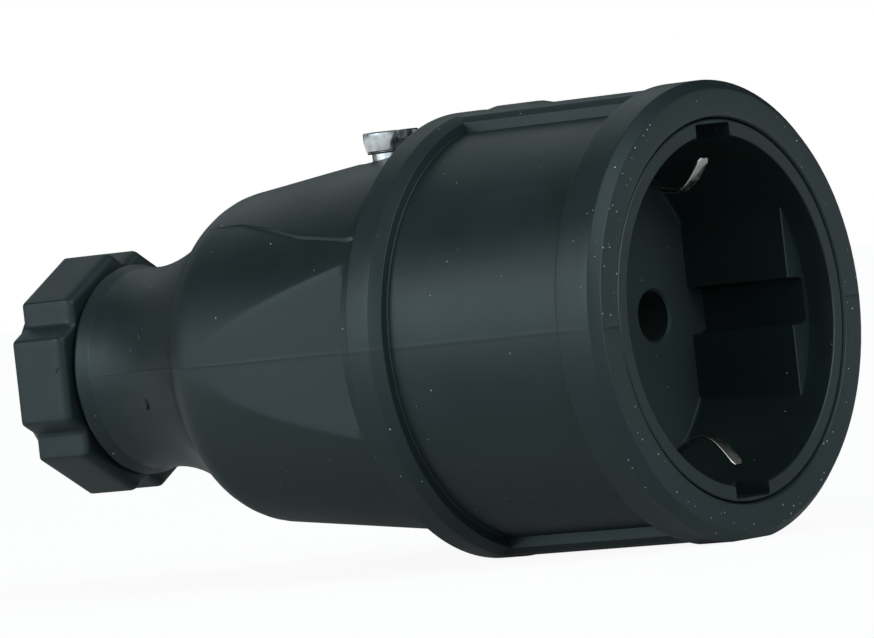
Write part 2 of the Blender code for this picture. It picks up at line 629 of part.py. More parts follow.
def guide_outline(side):
    """Cross-section of a side guide: a flat with a groove, running out into the round wall."""
    flat = GUIDE_SPACING / 2
    buried = RECESS_RADIUS + INSERT_WALL / 2
    reach = math.acos(flat / buried)
    half = GUIDE_GROOVE_WIDTH / 2
    deep = flat + GUIDE_GROOVE_DEPTH
    steps = 14
    arc = [reach - 2 * reach * i / steps for i in range(steps + 1)]
    points = [(buried * math.cos(a), buried * math.sin(a)) for a in arc]
    points += [(flat, -half), (deep, -half), (deep, half), (flat, half)]
    return [(side * y, z) for y, z in points]


def build_insert(plastic):
    """The hard cup in the front: recess, contact face, guides, lip notches and strap slots."""
    insert = turned("socket_insert", [
        (FLOOR_BACK_X, 0.0, 0),
        (FLOOR_BACK_X, INSERT_RADIUS, 0),
        (LIP_X - 0.4 * MM, INSERT_RADIUS, 0),
        (LIP_X, INSERT_RADIUS - 0.4 * MM, 0),
        (LIP_X, RECESS_RADIUS + RECESS_DRAFT, 0.25 * MM),
        (CONTACT_FACE_X, RECESS_RADIUS - RECESS_DRAFT, 0.8 * MM),
        (CONTACT_FACE_X, 0.0, 0)], plastic)
    for side, name in ((1, "right_guide"), (-1, "left_guide")):
        join(insert, prism(name, guide_outline(side), FLOOR_BACK_X + FLOOR_THICKNESS / 2,
                           CONTACT_FACE_X + GUIDE_LENGTH))
    for side, name in ((1, "right_pin"), (-1, "left_pin")):
        place = (side * HALF_PINS, 0.0)
        cut(insert, rod(f"{name}_hole", PIN_HOLE_RADIUS, 2 * FLOOR_BACK_X, FLOOR_THICKNESS,
                        centre=place, steps=SHOWN_STEPS))
        cone = 2 * PIN_HOLE_CHAMFER  # reaches past both ends of the chamfer that it leaves
        cut(insert, turned(f"{name}_chamfer", [
            (CONTACT_FACE_X - cone, 0.0, 0),
            (CONTACT_FACE_X - cone, PIN_HOLE_RADIUS + PIN_HOLE_CHAMFER - cone, 0),
            (CONTACT_FACE_X + cone, PIN_HOLE_RADIUS + PIN_HOLE_CHAMFER + cone, 0),
            (CONTACT_FACE_X + cone, 0.0, 0)],
            None, steps=SHOWN_STEPS, origin=(0.0, side * HALF_PINS, 0.0)))
    half_notch = NOTCH_WIDTH / 2
    half_slot = STRAP_WIDTH / 2 + CLEARANCE
    for side, name in ((1, "top"), (-1, "bottom")):
        z_low, z_high = sorted((side * 0.8 * RECESS_RADIUS, side * (INSERT_RADIUS - NOTCH_WALL)))
        cut(insert, block(f"{name}_notch_cutter", (LIP_X - NOTCH_LENGTH, -half_notch, z_low),
                          (LIP_X + NOTCH_LENGTH, half_notch, z_high)))
        z_low, z_high = sorted((side * (arm_level() - STRAP_THICKNESS / 2 - CLEARANCE),
                                side * (arm_level() + STRAP_THICKNESS / 2 + CLEARANCE)))
        cut(insert, block(f"{name}_strap_slot", (2 * FLOOR_BACK_X, -half_slot, z_low),
                          (FLOOR_THICKNESS / 2, half_slot, z_high)))
    for y, z in carrier_screw_places():
        cut(insert, rod(f"insert_thread_{'right' if y > 0 else 'left'}",
                        CARRIER_SCREW_RADIUS + CLEARANCE, 2 * FLOOR_BACK_X,
                        FLOOR_BACK_X + CARRIER_SCREW_BITE + CLEARANCE, centre=(y, z)))
    return insert


def arm_level():
    """Height of the earth strap's arms above the axis."""
    return RECESS_RADIUS - STRAP_WALL_GAP - STRAP_THICKNESS / 2


def carrier_screw_places():
    """The two carrier screws, as (y, z): low on either side of the earth terminal."""
    y = CARRIER_SCREW_CIRCLE * math.cos(CARRIER_SCREW_ANGLE)
    z = -CARRIER_SCREW_CIRCLE * math.sin(CARRIER_SCREW_ANGLE)
    return ((-y, z), (y, z))


def boss_levels():
    """Lowest and highest level of the boss that holds the housing screw's nut."""
    hood_inside = hood_radius(SCREW_X - SQUARE_NUT_SIDE) - HOOD_WALL
    half = BOSS_WIDTH / 2
    top = math.sqrt(hood_inside ** 2 - half ** 2) - CLEARANCE
    nut_top = top - SQUARE_NUT_COVER
    return nut_top - SQUARE_NUT_THICKNESS - SQUARE_NUT_COVER, nut_top, top


def build_carrier(plastic):
    """The block behind the insert: contact chambers, nut boss and tail with clamp posts."""
    carrier = prism("contact_carrier", circle(CARRIER_RADIUS, 40), CARRIER_REAR_X,
                    CARRIER_FRONT_X, plastic)
    low, nut_top, top = boss_levels()
    nut_half = SQUARE_NUT_SIDE / 2 + CLEARANCE
    boss_rear = SCREW_X - nut_half - BOSS_WALL
    half = BOSS_WIDTH / 2
    join(carrier, block("nut_boss", (boss_rear, -half, low),
                        (CARRIER_REAR_X + CARRIER_LENGTH / 3, half, top)))
    tail_top = -CLAMP_ARCH_RADIUS
    tail_low = tail_top - TAIL_THICKNESS
    join(carrier, block("tail", (CARRIER_REAR_X - TAIL_REACH, -TAIL_WIDTH / 2, tail_low),
                        (CARRIER_REAR_X + CARRIER_LENGTH / 4, TAIL_WIDTH / 2, tail_top)))
    for side, name in ((1, "right"), (-1, "left")):
        place = (CLAMP_X, side * CLAMP_SCREW_SPACING / 2)
        post_top = tail_top + CLAMP_POST_HEIGHT
        join(carrier, rod(f"{name}_post", CLAMP_POST_RADIUS, tail_top - TAIL_THICKNESS / 2,
                          post_top, axis="Z", centre=place))
    for side, name in ((1, "right"), (-1, "left")):
        y = side * HALF_PINS
        chamber = SLEEVE_RADIUS + SPRING_RING_THICKNESS + 3 * CLEARANCE
        pocket = TERMINAL_WIDTH / 2 + CLEARANCE
        cut(carrier, rod(f"{name}_chamber", chamber, TERMINAL_FRONT_X - CLEARANCE, -CARRIER_FRONT_X,
                         centre=(y, 0.0)))
        cut(carrier, block(f"{name}_pocket", (CARRIER_REAR_X - pocket / 2, y - pocket, -pocket),
                           (TERMINAL_FRONT_X + CLEARANCE, y + pocket, pocket)))
        cut(carrier, rod(f"{name}_well", TERMINAL_HEAD_RADIUS + 2 * CLEARANCE,
                         TERMINAL_WIDTH / 4, 2 * CARRIER_RADIUS, axis="Z",
                         centre=(terminal_screw_x(), y)))
        place = (CLAMP_X, side * CLAMP_SCREW_SPACING / 2)
        depth = CLAMP_SCREW_LENGTH - CLAMP_BAR_THICKNESS
        cut(carrier, rod(f"{name}_post_hole", CLAMP_SCREW_RADIUS + CLEARANCE,
                         clamp_seat() - depth - CLEARANCE, 2 * CARRIER_RADIUS, axis="Z",
                         centre=place))
    for y, z in carrier_screw_places():
        name = "right" if y > 0 else "left"
        cut(carrier, rod(f"{name}_through_hole", CARRIER_SCREW_RADIUS + CLEARANCE,
                         2 * CARRIER_REAR_X, -CARRIER_FRONT_X, centre=(y, z)))
        cut(carrier, rod(f"{name}_counterbore", CARRIER_HEAD_RADIUS + CLEARANCE,
                         2 * CARRIER_REAR_X, carrier_head_seat() - CLEARANCE, centre=(y, z)))
    channel = STRAP_WIDTH / 2 + CLEARANCE
    cut(carrier, block("strap_channel", (strap_x() - STRAP_THICKNESS / 2 - CLEARANCE, -channel,
                                         -2 * CARRIER_RADIUS),
                       (-CARRIER_FRONT_X, channel, 2 * CARRIER_RADIUS)))
    # The earth screw is reached from behind, below the tail.
    cut(carrier, rod("earth_screw_well", EARTH_HEAD_RADIUS + 2 * CLEARANCE, 2 * CARRIER_REAR_X,
                     strap_x(), centre=(0.0, earth_screw_level())))
    cut(carrier, rod("screw_passage", SCREW_RADIUS + CLEARANCE, low + BOSS_WALL / 2,
                     2 * CARRIER_RADIUS, axis="Z", centre=(SCREW_X, 0.0)))
    cut(carrier, block("nut_slot", (boss_rear - BOSS_WALL, -nut_half,
                                    nut_top - SQUARE_NUT_THICKNESS - CLEARANCE),
                       (SCREW_X + nut_half, nut_half, nut_top + CLEARANCE)))
    return carrier


def terminal_screw_x():
    return TERMINAL_REAR_X + TERMINAL_LENGTH / 2


def carrier_head_seat():
    """Where the carrier screws' heads bear, sunk into the carrier's back."""
    return CARRIER_REAR_X + CARRIER_HEAD_SINK


def strap_x():
    """Middle of the earth strap's web, just behind the insert's floor."""
    return FLOOR_BACK_X - CLEARANCE - STRAP_THICKNESS / 2


def earth_screw_level():
    """Height of the earth screw's axis, below the coupler's."""
    return EARTH_SCREW_INSET - arm_level()


def earth_clamp_front():
    return strap_x() - STRAP_THICKNESS / 2 - CLEARANCE


def clamp_seat():
    """Level of the posts' tops, on which the clamp bar sits."""
    return -CLAMP_ARCH_RADIUS + CLAMP_POST_HEIGHT


def build_contacts(brass, steel, zinc):
    """Live and neutral sleeves with their terminal blocks, ring springs and screws."""
    for side, name in ((1, "live"), (-1, "neutral")):
        y = side * HALF_PINS
        origin = (0.0, y, 0.0)
        front = FLOOR_BACK_X - CLEARANCE - SLEEVE_SETBACK
        inner = SLEEVE_RADIUS - SLEEVE_WALL
        contact = turned(f"{name}_contact", [
            (TERMINAL_FRONT_X - SLEEVE_WALL, inner, 0),
            (TERMINAL_FRONT_X - SLEEVE_WALL, SLEEVE_RADIUS, 0),
            (front, SLEEVE_RADIUS, 0), (front, inner, 0)],
            brass, steps=16, origin=origin)
        half = TERMINAL_WIDTH / 2
        join(contact, block(f"{name}_terminal", (TERMINAL_REAR_X, -half, -half),
                            (TERMINAL_FRONT_X, half, half), origin=origin))
        slit = SLEEVE_SLIT_WIDTH / 2
        for k in range(2):
            groove = block(f"{name}_slit_{k}", (front - SLEEVE_SLIT_LENGTH, -2 * half, -slit),
                           (-front, 2 * half, slit), origin=origin)
            groove.rotation_euler.x = math.radians(45 + 90 * k)
            cut(contact, groove)
        cut(contact, rod(f"{name}_wire_hole", WIRE_HOLE_RADIUS, 2 * TERMINAL_REAR_X,
                         TERMINAL_REAR_X + WIRE_HOLE_DEPTH, origin=origin))
        cut(contact, rod(f"{name}_screw_thread", TERMINAL_SCREW_RADIUS + CLEARANCE, 0.0, 2 * half,
                         axis="Z", centre=(terminal_screw_x(), 0.0), origin=origin))
        ring_front = front - SPRING_RING_SETBACK
        ring_inner = SLEEVE_RADIUS + CLEARANCE
        ring = turned(f"{name}_ring_spring", [
            (ring_front - SPRING_RING_WIDTH, ring_inner, 0),
            (ring_front - SPRING_RING_WIDTH, ring_inner + SPRING_RING_THICKNESS, 0),
            (ring_front, ring_inner + SPRING_RING_THICKNESS, 0), (ring_front, ring_inner, 0)],
            steel, steps=16, origin=origin)
        cut(ring, block(f"{name}_ring_gap", (-1.0, 0.0, -SLEEVE_SLIT_WIDTH / 2),
                        (1.0, side * 2 * half, SLEEVE_SLIT_WIDTH / 2), origin=origin))
        slotted_screw(f"{name}_terminal_screw", TERMINAL_SCREW_RADIUS, TERMINAL_SCREW_LENGTH,
                      TERMINAL_HEAD_RADIUS, TERMINAL_HEAD_HEIGHT, zinc,
                      slot_angle=math.radians(20 * side),
                      origin=(terminal_screw_x(), y, half + CLEARANCE))


def earth_spring_path(side):
    """Root plate, a cosine dip towards the axis, then a quarter-wave flick outwards."""
    root = spring_root_level()
    bend_start = STRAP_ARM_REACH
    tip = EARTH_SPRING_START + EARTH_SPRING_LENGTH
    path = [(EARTH_SPRING_START, root), (bend_start, root)]
    widths = [EARTH_SPRING_ROOT_WIDTH, EARTH_SPRING_ROOT_WIDTH]
    for i in range(1, 9):
        share = i / 8
        x = bend_start + (EARTH_SPRING_APEX - bend_start) * share
        path.append((x, root - EARTH_SPRING_BULGE * (1 - math.cos(math.pi * share)) / 2))
        narrowing = min(1.0, 3 * share)
        widths.append(EARTH_SPRING_ROOT_WIDTH
                      + (EARTH_SPRING_WIDTH - EARTH_SPRING_ROOT_WIDTH) * narrowing)
    for i in range(1, 7):
        share = i / 6
        x = EARTH_SPRING_APEX + (tip - EARTH_SPRING_APEX) * share
        path.append((x, root - EARTH_SPRING_BULGE * math.cos(math.pi / 2 * share)))
        widths.append(EARTH_SPRING_WIDTH)
    return [(x, side * z) for x, z in path], widths


def spring_root_level():
    """Height of the earth springs' root plates, just inside the strap's arms."""
    return arm_level() - STRAP_THICKNESS / 2 - CLEARANCE - EARTH_SPRING_THICKNESS / 2


def rivet_x():
    return (EARTH_SPRING_START + STRAP_ARM_REACH) / 2


def build_earth(nickel, spring_steel, zinc):
    """The U-shaped earth strap, two riveted contact springs, and the earth terminal."""
    level = arm_level()
    back = strap_x()
    bend = 1.2 * STRAP_THICKNESS
    corners = [(STRAP_ARM_REACH, level), (back + bend, level), (back + 0.3 * bend, level - 0.3 * bend),
               (back, level - bend)]
    path = corners + [(x, -z) for x, z in reversed(corners)]
    strap = bent_strip("earth_strap", path, [STRAP_WIDTH] * len(path), STRAP_THICKNESS, nickel)
    far = 2 * RECESS_RADIUS
    hole = RIVET_RADIUS + CLEARANCE
    cut(strap, rod("strap_rivet_holes", hole, -far, far, axis="Z", centre=(rivet_x(), 0.0)))
    cut(strap, rod("strap_screw_hole", EARTH_SCREW_RADIUS + CLEARANCE, -far, far,
                   centre=(0.0, earth_screw_level())))
    root = spring_root_level()
    for side, name in ((1, "upper"), (-1, "lower")):
        pivot = axis_empty(f"{name}_spring_pivot", (EARTH_SPRING_START, 0.0, side * root))
        path, widths = earth_spring_path(side)
        local = [(x - EARTH_SPRING_START, z - side * root) for x, z in path]
        spring = bent_strip(f"{name}_earth_spring", local, widths, EARTH_SPRING_THICKNESS,
                            spring_steel, parent=pivot, origin=pivot.location)
        cut(spring, rod(f"{name}_spring_hole", hole, -root / 4, root / 4, axis="Z",
                        centre=(rivet_x() - EARTH_SPRING_START, 0.0), parent=pivot,
                        origin=pivot.location))
        inner_face = root - EARTH_SPRING_THICKNESS / 2 - CLEARANCE
        outer_face = level + STRAP_THICKNESS / 2 + CLEARANCE
        profile = [(inner_face - RIVET_HEAD_HEIGHT, 0.0, 0),
                   (inner_face - RIVET_HEAD_HEIGHT, 0.7 * RIVET_HEAD_RADIUS, 0),
                   (inner_face, RIVET_HEAD_RADIUS, 0), (inner_face, RIVET_RADIUS, 0),
                   (outer_face, RIVET_RADIUS, 0), (outer_face, RIVET_HEAD_RADIUS, 0),
                   (outer_face + RIVET_HEAD_HEIGHT, 0.7 * RIVET_HEAD_RADIUS, 0),
                   (outer_face + RIVET_HEAD_HEIGHT, 0.0, 0)]
        profile = [(side * z, r, 0) for z, r, _ in profile]
        turned(f"{name}_earth_rivet", profile, nickel, steps=12, axis="Z",
               origin=(rivet_x(), 0.0, 0.0))


def build_earth_terminal(nickel, zinc, carrier):
    """The clamp plate and the screw that hold the earth wire behind the strap."""
    front = earth_clamp_front()
    back = front - EARTH_CLAMP_THICKNESS
    half = EARTH_CLAMP_SIDE / 2
    drop = earth_screw_level()
    clamp = block("earth_clamp_plate", (back, -half, drop - half), (front, half, drop + half), nickel)
    cut(clamp, rod("clamp_plate_hole", EARTH_SCREW_RADIUS + CLEARANCE, 2 * back, -back,
                   centre=(0.0, drop)))
    room = half + CLEARANCE
    cut(carrier, block("clamp_plate_pocket", (back - CLEARANCE, -room, drop - room),
                       (-CARRIER_FRONT_X, room, drop + room)))
    bearing = back - CLEARANCE
    slotted_screw("earth_terminal_screw", EARTH_SCREW_RADIUS, FLOOR_BACK_X - CLEARANCE - bearing,
                  EARTH_HEAD_RADIUS, EARTH_HEAD_HEIGHT, zinc, axis="X", origin=(bearing, 0.0, drop))


def build_carrier_screws(zinc):
    """Two long screws from the carrier's back into the insert's floor."""
    for y, z in carrier_screw_places():
        name = "right" if y > 0 else "left"
        reach = FLOOR_BACK_X + CARRIER_SCREW_BITE - carrier_head_seat()
        slotted_screw(f"carrier_screw_{name}", CARRIER_SCREW_RADIUS, reach,
                      CARRIER_HEAD_RADIUS, CARRIER_HEAD_HEIGHT, zinc, axis="X",
                      slot_angle=math.radians(35), origin=(carrier_head_seat() - CLEARANCE, y, z))


def build_housing_screw(zinc, fibre, parent):
    """The partly unscrewed housing screw, its captive washer and the square nut below."""
    seat = hood_radius(SCREW_X) - SCREW_SEAT_SINK
    washer_low = seat + SCREW_BACKED_OUT
    head_level = washer_low + SCREW_WASHER_THICKNESS + CLEARANCE / 2
    middle = parent.location
    screw = slotted_screw("housing_screw", SCREW_RADIUS, SCREW_LENGTH, SCREW_HEAD_RADIUS,
                          SCREW_HEAD_HEIGHT, zinc, slot=(SCREW_SLOT_WIDTH, SCREW_SLOT_DEPTH),
                          taper=SCREW_HEAD_TAPER, slot_angle=math.radians(-28),
                          steps=SHOWN_STEPS, parent=parent, origin=(middle.x, 0.0, head_level))
    washer = turned("screw_washer", [
        (washer_low, SCREW_RADIUS + CLEARANCE, 0),
        (washer_low, SCREW_HEAD_RADIUS - SCREW_HEAD_TAPER, 0),
        (washer_low + SCREW_WASHER_THICKNESS, SCREW_HEAD_RADIUS - SCREW_HEAD_TAPER, 0),
        (washer_low + SCREW_WASHER_THICKNESS, SCREW_RADIUS + CLEARANCE, 0)],
        fibre, steps=SHOWN_STEPS, axis="Z", parent=parent, origin=(middle.x, 0.0, 0.0))
    nut_top = boss_levels()[1]
    half = SQUARE_NUT_SIDE / 2
    nut = block("square_nut", (SCREW_X - half, -half, nut_top - SQUARE_NUT_THICKNESS),
                (SCREW_X + half, half, nut_top), zinc)
    cut(nut, rod("square_nut_thread", SCREW_RADIUS + CLEARANCE, 0.0, 2 * COLLAR_RADIUS, axis="Z",
                 centre=(SCREW_X, 0.0)))
    return screw, washer, nut


def build_cord_clamp(plastic, zinc):
    """The arched bar that presses on the cord, and its two screws."""
    low = clamp_seat() + CLEARANCE
    high = low + CLAMP_BAR_THICKNESS
    half = CLAMP_BAR_LENGTH / 2
    bar = block("cord_clamp", (CLAMP_X - half, -CLAMP_BAR_WIDTH / 2, low),
                (CLAMP_X + half, CLAMP_BAR_WIDTH / 2, high), plastic)
    cut(bar, prism("clamp_arch", circle(CLAMP_ARCH_RADIUS, SHOWN_STEPS), CLAMP_X - 2 * half,
                   CLAMP_X + 2 * half))
    for side, name in ((1, "right"), (-1, "left")):
        y = side * CLAMP_SCREW_SPACING / 2
        cut(bar, rod(f"clamp_hole_{name}", CLAMP_SCREW_RADIUS + CLEARANCE, 0.0,
                     2 * COLLAR_RADIUS, axis="Z", centre=(CLAMP_X, y)))
        slotted_screw(f"cord_clamp_screw_{name}", CLAMP_SCREW_RADIUS, CLAMP_SCREW_LENGTH,
                      CLAMP_HEAD_RADIUS, CLAMP_HEAD_HEIGHT, zinc,
                      slot_angle=math.radians(50 * side), origin=(CLAMP_X, y, high + CLEARANCE))
    return bar


def main():
    for leftover in list(bpy.data.objects):
        bpy.data.objects.remove(leftover, do_unlink=True)
    rubber = material("moulded_rubber", (0.022, 0.027, 0.031), 0.62)
    soft_rubber = material("grommet_rubber", (0.03, 0.03, 0.032), 0.7)
    hard_plastic = material("thermoset", (0.018, 0.022, 0.025), 0.45)
    carrier_plastic = material("carrier_polyamide", (0.09, 0.095, 0.1), 0.5)
    fibre = material("washer_fibre", (0.03, 0.02, 0.016), 0.8)
    zinc = material("zinc_plate", (0.62, 0.64, 0.66), 0.3, 1.0)
    nickel = material("nickel_plate", (0.66, 0.64, 0.6), 0.24, 1.0)
    brass = material("contact_brass", (0.72, 0.52, 0.25), 0.3, 1.0)
    steel = material("spring_steel", (0.42, 0.43, 0.45), 0.32, 1.0)

    build_housing(rubber)
    gland_axis = axis_empty("gland_axis", (NUT_FLOOR_X, 0.0, 0.0))
    build_gland(soft_rubber, hard_plastic, gland_axis)
    bpy.data.objects["gland_nut"].data.materials[0] = rubber
    build_insert(hard_plastic)
    carrier = build_carrier(carrier_plastic)
    build_contacts(brass, steel, zinc)
    build_earth(nickel, nickel, zinc)
    build_earth_terminal(nickel, zinc, carrier)
    build_carrier_screws(zinc)
    screw_axis = axis_empty("screw_axis", (SCREW_X, 0.0, 0.0))
    build_housing_screw(zinc, fibre, screw_axis)
    build_cord_clamp(carrier_plastic, zinc)


main()
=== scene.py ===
"""Looks of a rubber cable coupler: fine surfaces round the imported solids, their finishes,
a pale studio and the camera. Sizes in the classes of pieces and finishes are millimetres,
those of the floor and the lamps are metres, and so are the meshes."""

import json
import logging
import math
from collections.abc import Callable, Sequence
from dataclasses import dataclass
from enum import Enum

import bmesh
import bpy
import numpy as np
from mathutils import Matrix, Vector
from mathutils.geometry import delaunay_2d_cdt


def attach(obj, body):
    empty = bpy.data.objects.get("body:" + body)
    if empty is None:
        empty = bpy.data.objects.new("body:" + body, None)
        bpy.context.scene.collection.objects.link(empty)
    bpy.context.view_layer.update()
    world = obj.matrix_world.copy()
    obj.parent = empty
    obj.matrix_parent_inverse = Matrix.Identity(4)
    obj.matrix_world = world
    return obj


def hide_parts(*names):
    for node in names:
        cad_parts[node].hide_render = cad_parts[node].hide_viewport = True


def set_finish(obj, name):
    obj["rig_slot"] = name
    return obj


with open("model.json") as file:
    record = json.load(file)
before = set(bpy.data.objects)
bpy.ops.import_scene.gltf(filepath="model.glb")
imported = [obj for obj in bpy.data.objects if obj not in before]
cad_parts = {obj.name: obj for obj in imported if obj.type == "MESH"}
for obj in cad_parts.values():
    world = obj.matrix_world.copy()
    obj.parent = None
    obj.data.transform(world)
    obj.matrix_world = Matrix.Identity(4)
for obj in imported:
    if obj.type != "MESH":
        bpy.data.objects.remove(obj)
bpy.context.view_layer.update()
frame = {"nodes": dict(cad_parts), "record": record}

MM = 0.001
LOG = logging.getLogger("coupler")
IMAGE_WIDTH = 874
WELD_DISTANCE = 2e-6
THINNEST_EDGE = 1e-6

Array = np.ndarray
Corner = tuple[float, float, float]
Colour = tuple[float, float, float]
Faces = Sequence[Sequence[int]]
Object = bpy.types.Object
Material = bpy.types.Material
Node = bpy.types.Node
Socket = bpy.types.NodeSocket
Tree = bpy.types.NodeTree


def smooth_min(a: Array, b: Array, width: float) -> Array:
    """Lower of two surfaces, with the crease between them rounded.

    Formula: (a + b - sqrt((a - b)^2 + width^2)) / 2.

    Args:
        a: First surface.
        b: Second surface.
        width: Size of the rounding.

    Returns:
        The blended surface.
    """
    return 0.5 * (a + b - np.sqrt((a - b) ** 2 + width * width))


def smooth_max(a: Array, b: Array, width: float) -> Array:
    """Higher of two surfaces, with the crease between them rounded."""
    return -smooth_min(-a, -b, width)


def smooth_step(low: float, high: float, value: Array) -> Array:
    """Cubic step 3t^2 - 2t^3 from 0 at low to 1 at high."""
    t = np.clip((value - low) / (high - low), 0.0, 1.0)
    return t * t * (3.0 - 2.0 * t)


def rounded_path(corners: Sequence[Corner], closed: bool, arc_step: float = 12.0) -> Array:
    """Runs through corners (u, v, radius) and rounds each by an arc tangent to its two sides.

    Args:
        corners: Corner points with their rounding radii.
        closed: Whether the last corner joins the first.
        arc_step: Largest turn between two points of an arc, in degrees.

    Returns:
        Array of (u, v) points.
    """
    points: list[Array] = []
    count = len(corners)
    for i, (u, v, radius) in enumerate(corners):
        here = np.array((u, v))
        if radius <= 0 or (not closed and i in (0, count - 1)):
            points.append(here[None])
            continue
        back = np.array(corners[i - 1][:2]) - here
        ahead = np.array(corners[(i + 1) % count][:2]) - here
        back_length, ahead_length = np.hypot(*back), np.hypot(*ahead)
        back, ahead = back / back_length, ahead / ahead_length
        half = 0.5 * math.acos(float(np.clip(back @ ahead, -1, 1)))
        reach = min(radius / math.tan(half), 0.48 * back_length, 0.48 * ahead_length)
        radius = reach * math.tan(half)
        centre = here + (back + ahead) / np.hypot(*(back + ahead)) * math.hypot(reach, radius)
        first, last = here + back * reach - centre, here + ahead * reach - centre
        turn = math.atan2(first[0] * last[1] - first[1] * last[0], float(first @ last))
        steps = max(1, math.ceil(abs(math.degrees(turn)) / arc_step))
        swing = turn * np.arange(steps + 1) / steps
        points.append(centre + np.stack((
            first[0] * np.cos(swing) - first[1] * np.sin(swing),
            first[0] * np.sin(swing) + first[1] * np.cos(swing)), axis=1))
    return np.concatenate(points)


def refined(path: Array, spacing: Callable[[Array], Array]) -> Array:
    """Splits the straight runs of a path so that no step is longer than the spacing there.

    Args:
        path: Points (u, v) of an open path.
        spacing: Longest step wanted at each segment's middle.

    Returns:
        The path with points added.
    """
    starts, ends = path[:-1], path[1:]
    lengths = np.hypot(*(ends - starts).T)
    counts = np.maximum(1, np.ceil(lengths / spacing((starts + ends) / 2)).astype(int))
    pieces = [a + (b - a) * np.arange(n)[:, None] / n for a, b, n in zip(starts, ends, counts)]
    return np.concatenate(pieces + [path[-1:]])


def clustered(count: int, pull: float) -> Array:
    """Shares from 0 towards 1 that crowd at both ends: t - pull sin(2 pi t) / (2 pi)."""
    t = np.arange(count) / count
    return t - pull * np.sin(2 * np.pi * t) / (2 * np.pi)


def sector_angles(knots: Array, counts: Sequence[int], pull: float) -> Array:
    """Angles of a full turn from the knots of one quarter, mirrored into the other three.

    Args:
        knots: Array (rows, k) of angles from 0 to a right angle, in radians.
        counts: Number of columns between each two knots.
        pull: How strongly the columns crowd at the knots.

    Returns:
        Array (rows, columns) of angles that rise from 0 to a full turn.
    """
    parts = [knots[:, i:i + 1] + (knots[:, i + 1:i + 2] - knots[:, i:i + 1]) * clustered(n, pull)
             for i, n in enumerate(counts)]
    quarter = np.concatenate(parts, axis=1)
    right = np.full((len(knots), 1), np.pi / 2)
    half = np.concatenate((quarter, right, np.pi - quarter[:, :0:-1]), axis=1)
    return np.concatenate((half, half + np.pi), axis=1)


def grid_quads(rows: int, columns: int, wrap_rows: bool, keep: Array | None = None) -> Array:
    """Quads of a grid that closes on itself across its columns.

    Args:
        rows: Number of rows.
        columns: Number of columns.
        wrap_rows: Whether the last row joins the first.
        keep: Optional mask (rows, columns) of the quads to make.

    Returns:
        Array (n, 4) of indices into the flattened grid.
    """
    last = rows if wrap_rows else rows - 1
    i, j = np.meshgrid(np.arange(last), np.arange(columns), indexing="ij")
    below, beside = (i + 1) % rows, (j + 1) % columns
    quads = np.stack((i * columns + j, i * columns + beside,
                      below * columns + beside, below * columns + j), axis=-1)
    if keep is not None:
        return quads[keep[:last]]
    return quads.reshape(-1, 4)


def ring_quads(first: Array, second: Array) -> Array:
    """Quads between two closed loops of vertex indices of the same length."""
    return np.stack((first, np.roll(first, -1), np.roll(second, -1), second), axis=1)


def full_turn(count: int) -> Array:
    """Angles from 0 that part a full turn evenly."""
    return np.arange(count) * 2 * np.pi / count


def circle_points(radius: float, angle: Array) -> Array:
    """Points (r cos a, r sin a), one for each angle."""
    return np.stack((radius * np.cos(angle), radius * np.sin(angle)), axis=1)


def revolved_points(x: Array, radius: Array, angle: Array) -> Array:
    """Points (x, r cos a, r sin a) from arrays of one shape."""
    return np.stack(np.broadcast_arrays(x, radius * np.cos(angle), radius * np.sin(angle)), axis=-1)


def scene_object(name: str, data: bpy.types.ID) -> Object:
    """Makes an object of a mesh, a camera or a lamp, and puts it in the scene."""
    made = bpy.data.objects.new(name, data)
    bpy.context.scene.collection.objects.link(made)
    return made


def make_piece(name: str, points: Array, faces: Faces, body: str, slot: str,
               stands_for: Sequence[str] = (), sharp: float = 35.0) -> Object:
    """Makes a closed surface an object that rides on a CAD body.

    Args:
        name: Name of the piece.
        points: Array (n, 3) in millimetres.
        faces: Vertex indices of each face.
        body: CAD body that it moves with.
        slot: Material slot of the record.
        stands_for: CAD nodes that it replaces.
        sharp: Angle between faces, in degrees, above which an edge stays sharp.

    Returns:
        The object.
    """
    mesh = bpy.data.meshes.new(name)
    mesh.from_pydata((np.asarray(points) * MM).tolist(), [], [list(map(int, f)) for f in faces])
    work = bmesh.new()
    work.from_mesh(mesh)
    bmesh.ops.remove_doubles(work, verts=work.verts, dist=WELD_DISTANCE)
    bmesh.ops.dissolve_degenerate(work, edges=work.edges, dist=THINNEST_EDGE)
    bmesh.ops.recalc_face_normals(work, faces=work.faces)
    work.to_mesh(mesh)
    work.free()
    mesh.shade_smooth()
    mesh.set_sharp_from_angle(angle=math.radians(sharp))
    piece = scene_object(name, mesh)
    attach(piece, body)
    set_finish(piece, slot)
    if stands_for:
        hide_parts(*stands_for)
    LOG.info("%s: %d faces on %s", name, len(mesh.polygons), body)
    return piece


def upright_piece(name: str, profile: Array, body: str, slot: str, stands_for: Sequence[str],
                  centre_x: float, columns: int) -> Object:
    """Turns a closed profile (height, radius) about the upright line at centre_x.

    Args:
        name: Name of the piece.
        profile: Array (n, 2) of heights and radii; it may touch the line.
        body: CAD body that it moves with.
        slot: Material slot of the record.
        stands_for: CAD nodes that it replaces.
        centre_x: Place of the line along the axis.
        columns: Number of columns round the line.

    Returns:
        The object.
    """
    points = revolved_points(profile[:, :1], profile[:, 1:], full_turn(columns)[None])
    points = np.stack((points[..., 1] + centre_x, points[..., 2], points[..., 0]), axis=-1)
    quads = grid_quads(len(profile), columns, wrap_rows=True)
    return make_piece(name, points.reshape(-1, 3), quads, body, slot, stands_for)


